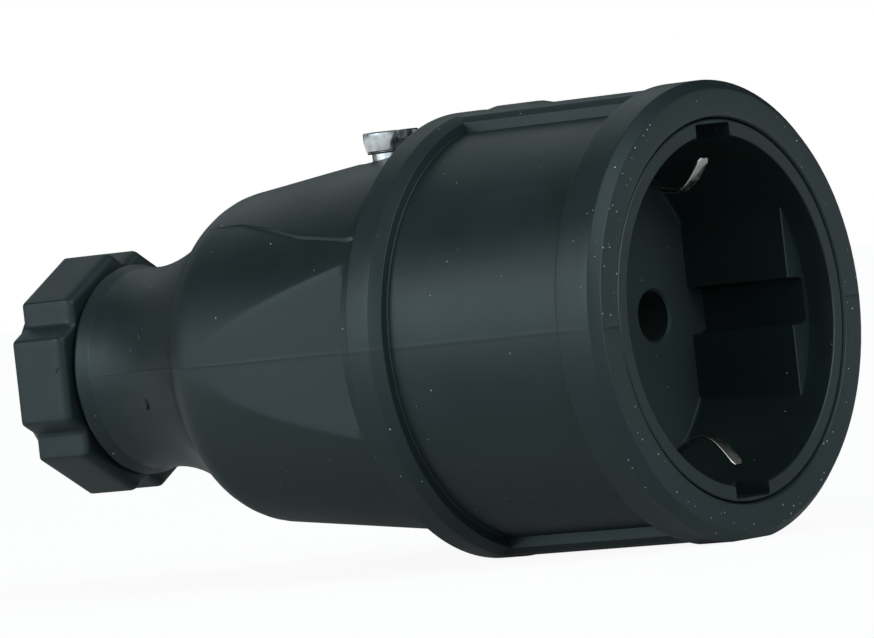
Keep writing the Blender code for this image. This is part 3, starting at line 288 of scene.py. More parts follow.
@dataclass
class HousingShell:
    """The one-piece rubber moulding, as rows along its profile and columns round its axis.

    The profile runs from the spigot at the rear over bead, neck, shoulder, hood, collar,
    barrel and rim, and back inside. Radii are from the axis, and places are along it.
    """

    spigot_radius: float = 10.18
    spigot_end: float = -76.5
    bead_rear: float = -69.5
    bead_radius: float = 12.62
    neck_x: float = -65.0
    neck_radius: float = 12.0
    foot_x: float = -51.7
    foot_radius: float = 16.5
    hood_rear: float = -48.6
    hood_rear_radius: float = 19.4
    collar_rear: float = -17.5
    hood_front_radius: float = 22.7
    hood_drop: float = 0.17
    collar_radius: float = 25.85
    collar_front: float = -12.8
    barrel_radius: float = 24.0
    rim_rear: float = 12.4
    rim_face: float = 18.0
    rim_radius: float = 26.15
    mouth_radius: float = 22.0
    bore_radius: float = 21.8
    flat_level: float = 19.87
    flat_front: float = -21.4
    saddle_front: float = -20.62
    saddle_rise: float = 0.28
    bar_half: float = 5.8
    bar_chamfer: float = 0.75
    bar_radius: float = 25.75
    screw_x: float = -27.9
    seat_radius: float = 4.0
    hole_radius: float = 2.75
    seat_sink: float = 0.7
    seat_chamfer: float = 0.12
    patch_half: float = 4.9
    patch_angle: float = 12.3
    wall: float = 4.0
    insert_seat: float = -4.9
    neck_bore_front: float = -62.5
    neck_bore_radius: float = 7.98
    grommet_seat: float = -68.25
    grommet_radius: float = 9.08
    hood_shape_rear: float = -60.0
    hood_crease: float = 0.1
    bar_crease: float = 0.04
    saddle_x: tuple[float, ...] = (-46.2, -41.8, -36.6, -29.8, -21.5)
    saddle_degrees: tuple[float, ...] = (53.5, 51.7, 46.1, 39.1, 34.3)
    oval_x: float = -8.8
    oval_half: tuple[float, float] = (3.6, 2.5)
    oval_height: float = 0.34
    seam_span: tuple[float, float] = (-66.0, 16.5)
    seam_width: float = 0.1
    seam_height: float = 0.025
    face_seam_width: float = 0.12
    face_seam_depth: float = 0.05
    columns: tuple[int, ...] = (13, 12, 24, 2, 3, 13)

    def hood_radius(self, x: Array) -> Array:
        """Cone from the collar's rear face to the shoulder, carried straight on beyond."""
        share = (self.collar_rear - x) / (self.collar_rear - self.hood_rear)
        return self.hood_front_radius + (self.hood_rear_radius - self.hood_front_radius) * share

    def flat_distance(self, x: Array) -> Array:
        """Distance of the side flats from the middle plane; in front of them it clears the cone."""
        return self.flat_level + 6.0 * smooth_step(self.flat_front, self.flat_front + 0.3, x)

    def saddle_edge(self, x: Array) -> Array:
        """Angle of the saddle's lower edge above the middle plane, falling to the front."""
        return np.radians(np.interp(x, self.saddle_x, self.saddle_degrees))

    def outer_profile(self) -> Array:
        """Points (x, r) of the outside, from the spigot's mouth to the socket's mouth.

        The flare behind the shoulder is r = neck + (foot - neck) t^1.82, with t from 0 at the
        neck to 1 at the shoulder's foot.
        """
        behind = rounded_path([
            (self.spigot_end, self.spigot_radius - 1.6, 0),
            (self.spigot_end, self.spigot_radius, 0.12),
            (self.bead_rear, self.spigot_radius, 0.2),
            (self.bead_rear, self.bead_radius - 0.1, 0.2),
            (self.bead_rear + 0.4, self.bead_radius, 0.25),
            (self.bead_rear + 1.9, self.neck_radius + 0.06, 0.5),
            (self.neck_x, self.neck_radius, 0)], closed=False, arc_step=8.0)
        t = np.linspace(0.0, 1.0, 26)[1:-1]
        flare = np.stack((self.neck_x + (self.foot_x - self.neck_x) * t, self.neck_radius
                          + (self.foot_radius - self.neck_radius) * t ** 1.82), axis=1)
        ahead = rounded_path([
            (self.foot_x, self.foot_radius, 0), (self.hood_rear, self.hood_rear_radius, 6.5),
            (self.collar_rear, self.hood_front_radius, 0),
            (self.collar_rear, self.collar_radius - 0.2, 0.1),
            (self.collar_rear + 0.2, self.collar_radius, 0.1),
            (self.collar_front - 1.45, self.collar_radius, 0.2),
            (self.collar_front, self.collar_radius - 0.72, 0.12),
            (self.collar_front, self.barrel_radius, 0.15),
            (self.rim_rear, self.barrel_radius, 0.15), (self.rim_rear, self.rim_radius, 0.25),
            (self.rim_face - 1.1, self.rim_radius, 0.3),
            (self.rim_face, self.rim_radius - 1.1, 0.3),
            (self.rim_face, self.mouth_radius, 0.16), (self.rim_face - 0.3, self.bore_radius, 0)],
            closed=False, arc_step=10.0)

        def spacing(middle: Array) -> Array:
            """Fine on the hood and under the oval, finest where the flats and the saddle end."""
            x, r = middle[:, 0], middle[:, 1]
            step = np.full(len(x), 1.2)
            step = np.where((x > self.neck_x) & (x < self.collar_rear), 0.6, step)
            step = np.where((x > self.collar_front) & (x < -4.6), 0.3, step)
            step = np.where((x > -4.6) & (x < self.rim_rear), 1.7, step)
            step = np.where((x > self.flat_front - 0.5) & (x < self.saddle_front + 0.5)
                            & (r < self.collar_radius - 2), 0.1, step)
            return np.where(r < self.spigot_radius + 0.1, 3.0, step)

        return refined(np.concatenate((behind, flare, ahead)), spacing)

    def inner_profile(self, window_x: Array) -> Array:
        """Points (x, r) of the inside, from the socket's mouth back to the spigot's mouth.

        Args:
            window_x: Places of the outer rows under which the inner rows lie.

        Returns:
            Array of (x, r), with the rows of window_x in falling order among them.
        """
        front = self.hood_front_radius - self.wall
        rear = self.hood_rear_radius - self.wall
        line = np.stack((window_x[::-1], self.hood_radius(window_x[::-1]) - self.wall), axis=1)
        ahead = [(8.0, self.bore_radius), (self.insert_seat, self.bore_radius),
                 (self.insert_seat, front), (self.collar_rear, front)]
        behind = [(self.hood_rear, rear), (self.neck_bore_front, self.neck_bore_radius),
                  (self.grommet_seat, self.neck_bore_radius),
                  (self.spigot_end, self.grommet_radius)]
        return np.concatenate((ahead, line, behind))

    def shaped_radius(self, x: Array, radius: Array, angle: Array) -> Array:
        """Radius of the outside after the flats, saddle, bars, oval and parting line.

        The hood is the lower of its cone and the flats; the window between the collars is the
        higher of the barrel and the bars; the saddle, the oval and the parting line add a rise,
        and a small flat under the rim is level with the collar.
        """
        sine, cosine = np.sin(angle), np.abs(np.cos(angle)) + 1e-9
        on_hood = ((x < self.collar_rear + 1e-6) & (x > self.hood_shape_rear)
                   & (radius < self.hood_front_radius + 1e-6))
        above = np.arcsin(np.clip(np.abs(sine), 0, 1))
        inward = (above - self.saddle_edge(x)) * radius
        behind = self.saddle_front - x
        corner = 1.0 - np.hypot(np.maximum(1.0 - inward, 0), np.maximum(1.0 - behind, 0))
        saddle = smooth_step(-0.1, 0.18, corner) * smooth_step(-50.0, -30.0, x) * (sine > 0)
        drop = self.hood_drop * sine * smooth_step(-58.0, -50.0, x)
        hood = radius - drop + self.saddle_rise * saddle
        flat = self.flat_distance(x) / cosine
        hood = np.where(flat < hood + 4.0, smooth_min(hood, flat, self.hood_crease), hood)
        radius = np.where(on_hood, hood, radius)

        in_window = (x > self.collar_front - 1.9) & (x < self.rim_rear + 1e-6)
        side = self.bar_half / cosine
        top_half, shoulder = self.bar_top()
        slope = (shoulder + top_half) / (np.abs(sine) + cosine)
        top = smooth_min(np.full_like(side, self.bar_radius), slope, self.bar_crease)
        bar = np.where(np.abs(sine) > 0.9, np.minimum(top, side), 0.0)
        with_bar = np.where(bar > radius - 1.5, smooth_max(radius, bar, self.bar_crease), radius)
        radius = np.where(in_window, with_bar, radius)

        across = radius * np.cos(angle)
        oval = np.hypot((x - self.oval_x) / self.oval_half[0], across / self.oval_half[1])
        oval_rise = self.oval_height * smooth_step(1.0, 0.9, oval) * (sine > 0)
        radius = radius + np.where(in_window & (x > self.collar_front), oval_rise, 0.0)

        seam = np.exp(-((radius * sine) / self.seam_width) ** 2) * self.seam_height
        radius = radius + np.where((x > self.seam_span[0]) & (x < self.seam_span[1]), seam, 0.0)
        in_rim = (x > self.rim_rear - 1e-6) & (sine < -0.95)
        rest_flat = self.collar_radius / np.maximum(-sine, 0.5)
        return np.where(in_rim, np.minimum(radius, rest_flat), radius)

    def bar_top(self) -> tuple[float, float]:
        """Half width of a bar's top between its chamfers, and the height of the top's edges."""
        top_half = self.bar_half - self.bar_chamfer
        return top_half, math.sqrt(self.bar_radius ** 2 - top_half ** 2)

    def top_height(self, x: Array, y: Array) -> Array:
        """Height z of the hood's upper surface over a point, by three rounds of substitution."""
        z = np.sqrt(self.hood_radius(x) ** 2 - y ** 2)
        for _ in range(3):
            z = np.sqrt(self.shaped_radius(x, self.hood_radius(x), np.arctan2(z, y)) ** 2 - y ** 2)
        return z

    def angles(self, x: Array) -> Array:
        """Column angles of each row, drawn to the flats' creases, the saddle and the bars."""
        clipped = np.clip(x, self.hood_rear, self.collar_rear)
        ratio = np.clip(self.flat_level / self.hood_radius(clipped), 0, 1)
        crease = np.maximum(np.arccos(ratio), math.radians(6.0))
        edge = np.maximum(self.saddle_edge(clipped), crease + 0.1)
        top_half, shoulder = self.bar_top()
        bar = [math.acos(self.bar_half / self.barrel_radius),
               math.atan2(shoulder - self.bar_chamfer, self.bar_half),
               math.atan2(shoulder, top_half), np.pi / 2]
        knots = np.column_stack([0 * x, crease, edge] + [np.full_like(x, a) for a in bar])
        return sector_angles(knots, self.columns, 0.86)

    def build(self) -> Object:
        """Joins the outside and the inside round the screw's stepped hole."""
        outside = self.outer_profile()
        x_out = outside[:, 0]
        behind_collar = np.arange(len(x_out)) < np.argmax(x_out > self.collar_rear - 1e-6)
        near_screw = np.abs(x_out - self.screw_x) < self.patch_half
        hole_rows = np.nonzero(near_screw & behind_collar)[0]
        inside = self.inner_profile(x_out[hole_rows])
        profile = np.concatenate((outside, inside))
        x, r = profile[:, :1], profile[:, 1:]
        angle = self.angles(profile[:, 0])
        is_outside = (np.arange(len(profile)) < len(outside))[:, None]
        radius = np.where(is_outside, self.shaped_radius(x + 0 * angle, r + 0 * angle, angle), r)
        on_face = (x > self.rim_face - 0.01) & (r > self.mouth_radius) & is_outside
        line = np.exp(-((radius * np.sin(angle)) / self.face_seam_width) ** 2)
        points = revolved_points(x - line * self.face_seam_depth * on_face, radius, angle)

        rows, columns = angle.shape
        first, last = int(hole_rows[0]), int(hole_rows[-1])
        top = columns // 4
        patch_edge = np.pi / 2 + math.radians(self.patch_angle)
        spread = int(np.argmax(angle[first, top:] > patch_edge))
        left, right = top - spread, top + spread
        inner_first = len(outside) + 4  # after the four inner rows in front of the hood
        keep = np.ones((rows, columns), bool)
        keep[first:last, left:right] = False
        keep[inner_first:inner_first + last - first, left:right] = False
        quads = [grid_quads(rows, columns, wrap_rows=True, keep=keep)]

        across = np.arange(left, right)
        along = np.arange(first, last)
        loop_row = np.concatenate((np.full(len(across), first), along,
                                   np.full(len(across), last), along[::-1] + 1))
        loop_column = np.concatenate((across, np.full(len(along), right),
                                      across[::-1] + 1, np.full(len(along), left)))
        upper_loop = loop_row * columns + loop_column
        lower_loop = (inner_first + last - loop_row) * columns + loop_column
        flat_points = points.reshape(-1, 3)
        upper = flat_points[upper_loop]
        offset = upper[:, :2] - (self.screw_x, 0.0)
        direction = offset / np.hypot(*offset.T)[:, None]

        def circle(radius_mm: float) -> Array:
            """Points (x, y) of a circle round the screw, one below each point of the loop."""
            return direction * radius_mm + (self.screw_x, 0.0)

        def with_height(flat: Array, height: Array | float) -> Array:
            """Adds a height to points (x, y)."""
            return np.column_stack((flat, np.broadcast_to(height, len(flat))))

        rings = []
        rim = circle(self.seat_radius + self.seat_chamfer)
        for share in (0.3, 0.6, 0.85, 1.0):
            flat = upper[:, :2] * (1 - share) + rim * share
            rings.append(with_height(flat, self.top_height(*flat.T)))
        seat = self.hood_radius(self.screw_x) - self.seat_sink
        edge = circle(self.seat_radius)
        rings.append(with_height(edge, self.top_height(*edge.T) - self.seat_chamfer))
        rings += [with_height(edge, seat + 0.1), with_height(circle(self.seat_radius - 0.1), seat),
                  with_height(circle(self.hole_radius), seat)]
        ring = circle(self.hole_radius)
        inner_r = self.hood_radius(ring[:, 0]) - self.wall
        rings.append(with_height(ring, np.sqrt(inner_r ** 2 - ring[:, 1] ** 2)))
        added = len(flat_points) + np.arange(len(rings) * len(upper_loop))
        loops = [upper_loop, *added.reshape(len(rings), -1), lower_loop]
        quads += [ring_quads(a, b) for a, b in zip(loops, loops[1:])]
        all_points = np.concatenate([flat_points] + rings)
        return make_piece("housing_shell", all_points, np.concatenate(quads), "housing",
                          "moulded_rubber", ["housing"], sharp=38.0)


@dataclass
class SocketCup:
    """The hard insert: recess wall with side guides and lip notches, and a pierced floor."""

    outer_radius: float = 21.65
    lip_x: float = 17.8
    lip_radius: float = 19.85
    floor_radius: float = 19.45
    floor_back: float = -4.6
    guide_level: float = 16.5
    guide_front: float = 14.3
    groove_half: float = 2.7
    groove_level: float = 19.2
    notch_half: float = 3.25
    notch_radius: float = 21.15
    notch_rear: float = 13.2
    pin_offset: float = 9.5
    pin_radius: float = 2.95
    pin_chamfer: float = 0.3
    pin_columns: int = 40
    slot_half: float = 2.8
    slot_levels: tuple[float, float] = (17.6, 19.0)
    groove_reach: float = 17.7
    notch_reach: float = 20.7
    columns: tuple[int, ...] = (6, 14, 20, 8)

    def wall_radius(self, x: Array) -> Array:
        """Drafted recess wall between floor and lip."""
        return self.floor_radius + (self.lip_radius - self.floor_radius) * x / self.lip_x

    def rows(self) -> tuple[Array, Array, Array]:
        """Rows of the recess: their places, whether guides stand there, and whether notches open.

        The guides' front rises between the sixth and the seventh row, and the notches end
        between the ninth and the tenth, which share their place.
        """
        lip = self.lip_x - np.array((0.0, 0.08, 0.25, 2.2))
        step = self.guide_front + np.array((0.12, 0.04, 0.0, -0.12))
        deep = (12.0, 9.5, 7.0, 4.5, 2.0, 0.6, 0.2, 0.06, 0.0)
        x = np.concatenate((lip, step, (self.notch_rear, self.notch_rear), deep))
        row = np.arange(len(x))
        return x, row >= 6, row < 9

    def build(self) -> Object:
        """Joins the outer wall, the recess, the pierced front of the floor and its back."""
        x, guide, notch = self.rows()
        chord = np.arccos(np.clip(self.guide_level / self.wall_radius(x), 0, 1))
        groove = np.full_like(x, math.asin(self.groove_half / self.groove_reach))
        slit = np.full_like(x, math.acos(self.notch_half / self.notch_reach))
        knots = np.stack((0 * x, groove, chord, slit, np.full_like(x, np.pi / 2)), axis=1)
        angle = sector_angles(knots, self.columns, 0.9)
        sine, cosine = np.abs(np.sin(angle)) + 1e-9, np.abs(np.cos(angle)) + 1e-9
        base = np.repeat(self.wall_radius(x)[:, None], angle.shape[1], axis=1)
        base = base + np.interp(self.lip_x - x, (0.0, 0.08, 0.25), (0.16, 0.05, 0.0))[:, None]
        base = base - np.interp(x, (0.0, 0.06, 0.2, 0.6), (0.2, 0.1, 0.02, 0.0))[:, None]
        ease = np.interp(x, (self.guide_front - 0.12, self.guide_front), (0.0, 0.12))[:, None]
        flat = (self.guide_level + ease) / cosine
        floor_of_groove = np.minimum(self.groove_level / cosine, self.groove_half / sine)
        guide_face = smooth_max(flat, np.minimum(floor_of_groove, flat + 4), 0.06)
        radius = np.where(guide[:, None] & (cosine > 0.6), smooth_min(base, guide_face, 0.08), base)
        opening = np.minimum(self.notch_radius / sine, self.notch_half / cosine)
        opening = np.where(notch[:, None] & (sine > 0.9), opening, 0.0)
        radius = np.maximum(radius, opening)
        recess = revolved_points(x[:, None] + 0 * angle, radius, angle)
        wide = self.outer_radius
        outside = np.array([(self.lip_x, wide - 0.2), (self.lip_x - 0.08, wide - 0.07),
                            (self.lip_x - 0.25, wide), (6.0, wide),
                            (self.floor_back + 0.1, wide), (self.floor_back, wide - 0.1)])
        outer_angle = np.repeat(angle[:1], len(outside), axis=0)
        outer = revolved_points(outside[:, :1] + 0 * outer_angle, outside[:, 1:], outer_angle)
        wall = np.concatenate((outer[::-1], recess))
        rows, columns = wall.shape[:2]
        points = [wall.reshape(-1, 3)]
        faces: list[Sequence[int]] = grid_quads(rows, columns, wrap_rows=False).tolist()

        circle = circle_points(self.pin_radius, full_turn(self.pin_columns))
        low, high = self.slot_levels
        slot = rounded_path([(self.slot_half, low, 0.2), (self.slot_half, high, 0.1),
                             (-self.slot_half, high, 0.1), (-self.slot_half, low, 0.2)],
                            closed=True, arc_step=30.0)
        holes = [circle + (self.pin_offset, 0), circle - (self.pin_offset, 0), slot, slot * (1, -1)]
        start = rows * columns
        front_rim = np.arange((rows - 1) * columns, rows * columns)
        back_rim = np.arange(columns)
        front_loops, back_loops = [], []
        for k, hole in enumerate(holes):
            front = np.column_stack((np.zeros(len(hole)), hole))
            rings = [front, front + (self.floor_back, 0, 0)]
            if k < 2:
                centre = np.array((0.0, (1, -1)[k] * self.pin_offset, 0.0))
                rim = (front - centre) * (1 + self.pin_chamfer / self.pin_radius) + centre
                rings = [rim, front - (self.pin_chamfer, 0, 0), rings[1]]
            loops = start + np.arange(len(rings) * len(hole)).reshape(len(rings), -1)
            for near, far in zip(loops, loops[1:]):
                faces += ring_quads(near, far).tolist()
            points += rings
            front_loops.append(loops[0])
            back_loops.append(loops[-1])
            start += loops.size
        merged = np.concatenate(points)
        faces += pierced_plate(merged, front_rim, front_loops)
        faces += pierced_plate(merged, back_rim, back_loops)
        return make_piece("socket_cup", merged, faces, "housing", "hard_plastic",
                          ["socket_insert"], sharp=30.0)


def pierced_plate(points: Array, rim: Array, loops: Sequence[Array]) -> list[list[int]]:
    """Triangles of a flat plate between a rim and the holes in it, across the X axis.

    Args:
        points: All vertices.
        rim: Indices of the outer loop.
        loops: Indices of each hole's loop.

    Returns:
        Faces as lists of indices into points.
    """
    order = np.concatenate([rim, *loops])
    flat = [Vector(p) for p in points[order][:, 1:].tolist()]
    edges, start = [], 0
    for loop in (rim, *loops):
        index = np.arange(len(loop)) + start
        edges += np.stack((index, np.roll(index, -1)), axis=1).tolist()
        start += len(loop)
    _, _, triangles, originals, _, _ = delaunay_2d_cdt(flat, edges, [], 0, 1e-7)
    source = [o[0] if o else -1 for o in originals]
    made = [[int(order[source[v]]) for v in t] for t in triangles if all(source[v] >= 0 for v in t)]
    centres = np.array([points[t][:, 1:].mean(axis=0) for t in made])
    solid = inside_loop(centres, points[rim][:, 1:])
    for loop in loops:
        solid &= ~inside_loop(centres, points[loop][:, 1:])
    return [t for t, kept in zip(made, solid) if kept]


def inside_loop(places: Array, loop: Array) -> Array:
    """Whether each place lies in a closed outline, by counting crossings of a ray."""
    ahead = np.roll(loop, -1, axis=0)
    u, v = places[:, :1], places[:, 1:]
    crosses = (loop[:, 1] > v) != (ahead[:, 1] > v)
    rise = np.where(ahead[:, 1] == loop[:, 1], 1.0, ahead[:, 1] - loop[:, 1])
    reach = (ahead[:, 0] - loop[:, 0]) * (v - loop[:, 1]) / rise + loop[:, 0]
    return (np.count_nonzero(crosses & (u < reach), axis=1) % 2).astype(bool)


@dataclass
class GlandNut:
    """The notched hexagon nut with its flat back, low cap and cord mouth."""

    rear: float = -80.65
    back: float = -77.75
    floor: float = -78.35
    front: float = -70.1
    apothem: float = 13.68
    flat_half: float = 4.975
    valley_radius: float = 13.0
    cap_radius: float = 9.5
    bore_radius: float = 10.48
    mouth_radius: float = 6.2
    flats: int = 6
    side_round: float = 0.7
    edge_round: float = 0.45
    valley_round: float = 0.7
    valley_land: float = 0.22

    def outline(self) -> Array:
        """Points (y, z) of the lobed outline: six flats with a V valley at each corner.

        The two flats that face sideways have rounder edges.
        """
        valley = math.pi / self.flats
        dip = self.valley_radius * np.array((math.cos(valley), math.sin(valley)))
        land = self.valley_land * np.array((-math.sin(valley), math.cos(valley)))
        corners: list[Corner] = []
        for k in range(self.flats):
            edge = self.side_round if k % 3 == 0 else self.edge_round
            turn = math.pi + 2 * valley * k
            c, s = math.cos(turn), math.sin(turn)
            sector = [(self.apothem, -self.flat_half, edge), (self.apothem, self.flat_half, edge),
                      (*(dip - land), self.valley_round), (*(dip + land), self.valley_round)]
            corners += [(u * c - v * s, u * s + v * c, radius) for u, v, radius in sector]
        path = rounded_path(corners, closed=True, arc_step=10.0)
        return refined(np.concatenate((path, path[:1])), lambda m: np.full(len(m), 0.9))[:-1]

    def build(self) -> Object:
        """Rows from the cord mouth over the cap and the lobes to the front, then the bore.

        A row of the lobes is the outline less an inset, r = outline - inset; every other row
        is round.
        """
        lobes = self.outline()
        angle, reach = np.arctan2(lobes[:, 1], lobes[:, 0]), np.hypot(*lobes.T)
        cap = rounded_path([(self.rear, self.mouth_radius, 0), (self.rear, self.cap_radius, 0.7),
                            (self.rear + 1.3, 11.6, 3.0), (self.back, 12.8, 0)], closed=False)
        cap = refined(cap, lambda m: np.full(len(m), 0.8))
        inner = np.array([(self.front, self.bore_radius + 0.1),
                          (self.front - 0.1, self.bore_radius),
                          (self.floor, self.bore_radius), (self.floor, self.mouth_radius)])
        along = np.linspace(self.back + 0.45, self.front - 1.2, 9)
        x = np.concatenate((self.back + np.array((0.0, 0.06, 0.2)), along,
                            self.front - np.array((0.9, 0.6, 0.34, 0.14, 0.03, 0.0))))
        inset = np.concatenate(((0.34, 0.16, 0.05), 0 * along, (0.04, 0.14, 0.3, 0.52, 0.8, 1.0)))
        grooved = reach[None] - inset[:, None]
        rows = np.concatenate((np.repeat(cap[:, 1:], len(angle), axis=1), grooved,
                               np.repeat(inner[:, 1:], len(angle), axis=1)))
        places = np.concatenate((cap[:, 0], x, inner[:, 0]))[:, None]
        points = revolved_points(places + 0 * rows, rows, angle[None])
        quads = grid_quads(len(rows), len(angle), wrap_rows=True)
        return make_piece("gland_nut_body", points.reshape(-1, 3), quads, "gland_nut",
                          "nut_rubber", ["gland_nut"], sharp=42.0)


@dataclass
class CoverScrew:
    """The slotted cheese-head screw and the thin washer under its head; the washer's dark finish is
    painted shade for the shadow line beneath the head.
    """

    x: float = -27.9
    bearing: float = 22.45
    head_height: float = 2.3
    head_radius: float = 3.28
    taper: float = 0.2
    shank_radius: float = 2.45
    core_radius: float = 2.05
    length: float = 12.35
    neck_length: float = 2.2
    slot_width: float = 1.2
    slot_depth: float = 1.1
    slot_angle: float = -28.0
    pitch: float = 0.8
    head_chamfer: float = 0.16
    washer_radii: tuple[float, float] = (2.6, 2.96)

    def build_washer(self) -> Object:
        """A flat ring with slightly rounded edges, just under the head, dark as painted shade for
        the head's shadow line.
        """
        low, high = self.bearing - 0.24, self.bearing - 0.04
        hole, wide = self.washer_radii
        ring = rounded_path([(low, hole, 0.05), (low, wide, 0.08), (high, wide, 0.08),
                             (high, hole, 0.05)], closed=True, arc_step=30)
        return upright_piece("painted_shade_washer", ring, "screw_washer", "washer_fibre",
                             ["screw_washer"], self.x, columns=56)

    def build(self) -> Object:
        """The head is two lands with the slot between them; the shank has ring grooves at its end.

        Each outline of the head is a circle; its points within the slot's width are pulled down
        to the slot's floor, and its columns lie on the slot's edges.
        """
        half = self.slot_width / 2
        reach = math.asin(half / self.head_radius)
        turn = math.radians(self.slot_angle)
        top = self.bearing + self.head_height
        floor = top - self.slot_depth
        land = np.linspace(reach, np.pi - reach, 29)
        rim = circle_points(self.head_radius, land)
        inner = rim * (1 - self.head_chamfer / self.head_radius)
        inner[:, 1] = np.maximum(inner[:, 1], half)
        inner[0, 1] = inner[-1, 1] = half
        cap = len(land)
        points: list[Array] = []
        faces: list[Sequence[int]] = []
        rows = [(top, inner), (top - self.head_chamfer, rim), (floor, rim)]
        for side in (1, -1):
            base = sum(len(p) for p in points)
            for height, outline in rows:
                points.append(np.column_stack((outline * side, np.full(cap, height))))
            index = np.arange(cap)
            faces.append((base + index).tolist())
            for k in range(2):
                a, b = base + k * cap + index, base + (k + 1) * cap + index
                faces += np.stack((a[:-1], a[1:], b[1:], b[:-1]), axis=1).tolist()
            faces.append([base, base + cap, base + 2 * cap, base + 3 * cap - 1,
                          base + 2 * cap - 1, base + cap - 1])
        ends = circle_points(self.head_radius, np.linspace(-reach, reach, 7)[1:-1])
        start = sum(len(p) for p in points)
        points.append(np.column_stack((ends, np.full(5, floor))))
        points.append(np.column_stack((-ends, np.full(5, floor))))
        right_land = 2 * cap + np.arange(cap)
        left_land = 5 * cap + np.arange(cap)
        loop = np.concatenate((start + np.arange(5), right_land,
                               start + 5 + np.arange(5), left_land))
        faces.append([int(right_land[0]), int(right_land[-1]), *range(start + 5, start + 10),
                      int(left_land[0]), int(left_land[-1]), *range(start, start + 5)])
        everything = np.concatenate(points)
        outline = everything[loop][:, :2]
        outward = outline / np.hypot(*outline.T)[:, None]
        tip = self.bearing - self.length
        below = [(self.head_radius - self.taper - 0.02, self.bearing + 0.1),
                 (self.head_radius - self.taper - 0.12, self.bearing),
                 (self.shank_radius, self.bearing),
                 (self.shank_radius, self.bearing - self.neck_length)]
        z = self.bearing - self.neck_length - 0.25
        while z > tip + 1.4:
            below += [(self.shank_radius, z - 0.25 * self.pitch),
                      (self.core_radius, z - 0.72 * self.pitch)]
            z -= self.pitch
        below += [(self.core_radius, tip + 0.5), (self.core_radius - 0.5, tip)]
        loops = [loop]
        for radius, height in below:
            base = sum(len(p) for p in points)
            points.append(np.column_stack((outward * radius, np.full(len(loop), height))))
            loops.append(base + np.arange(len(loop)))
        for a, b in zip(loops, loops[1:]):
            faces += ring_quads(a, b).tolist()
        faces.append(loops[-1].tolist())
        merged = np.concatenate(points)
        c, s = math.cos(turn), math.sin(turn)
        spun = np.column_stack((merged[:, 0] * c - merged[:, 1] * s + self.x,
                                merged[:, 0] * s + merged[:, 1] * c, merged[:, 2]))
        return make_piece("cover_screw", spun, faces, "housing_screw", "zinc_plate",
                          ["housing_screw"], sharp=28.0)


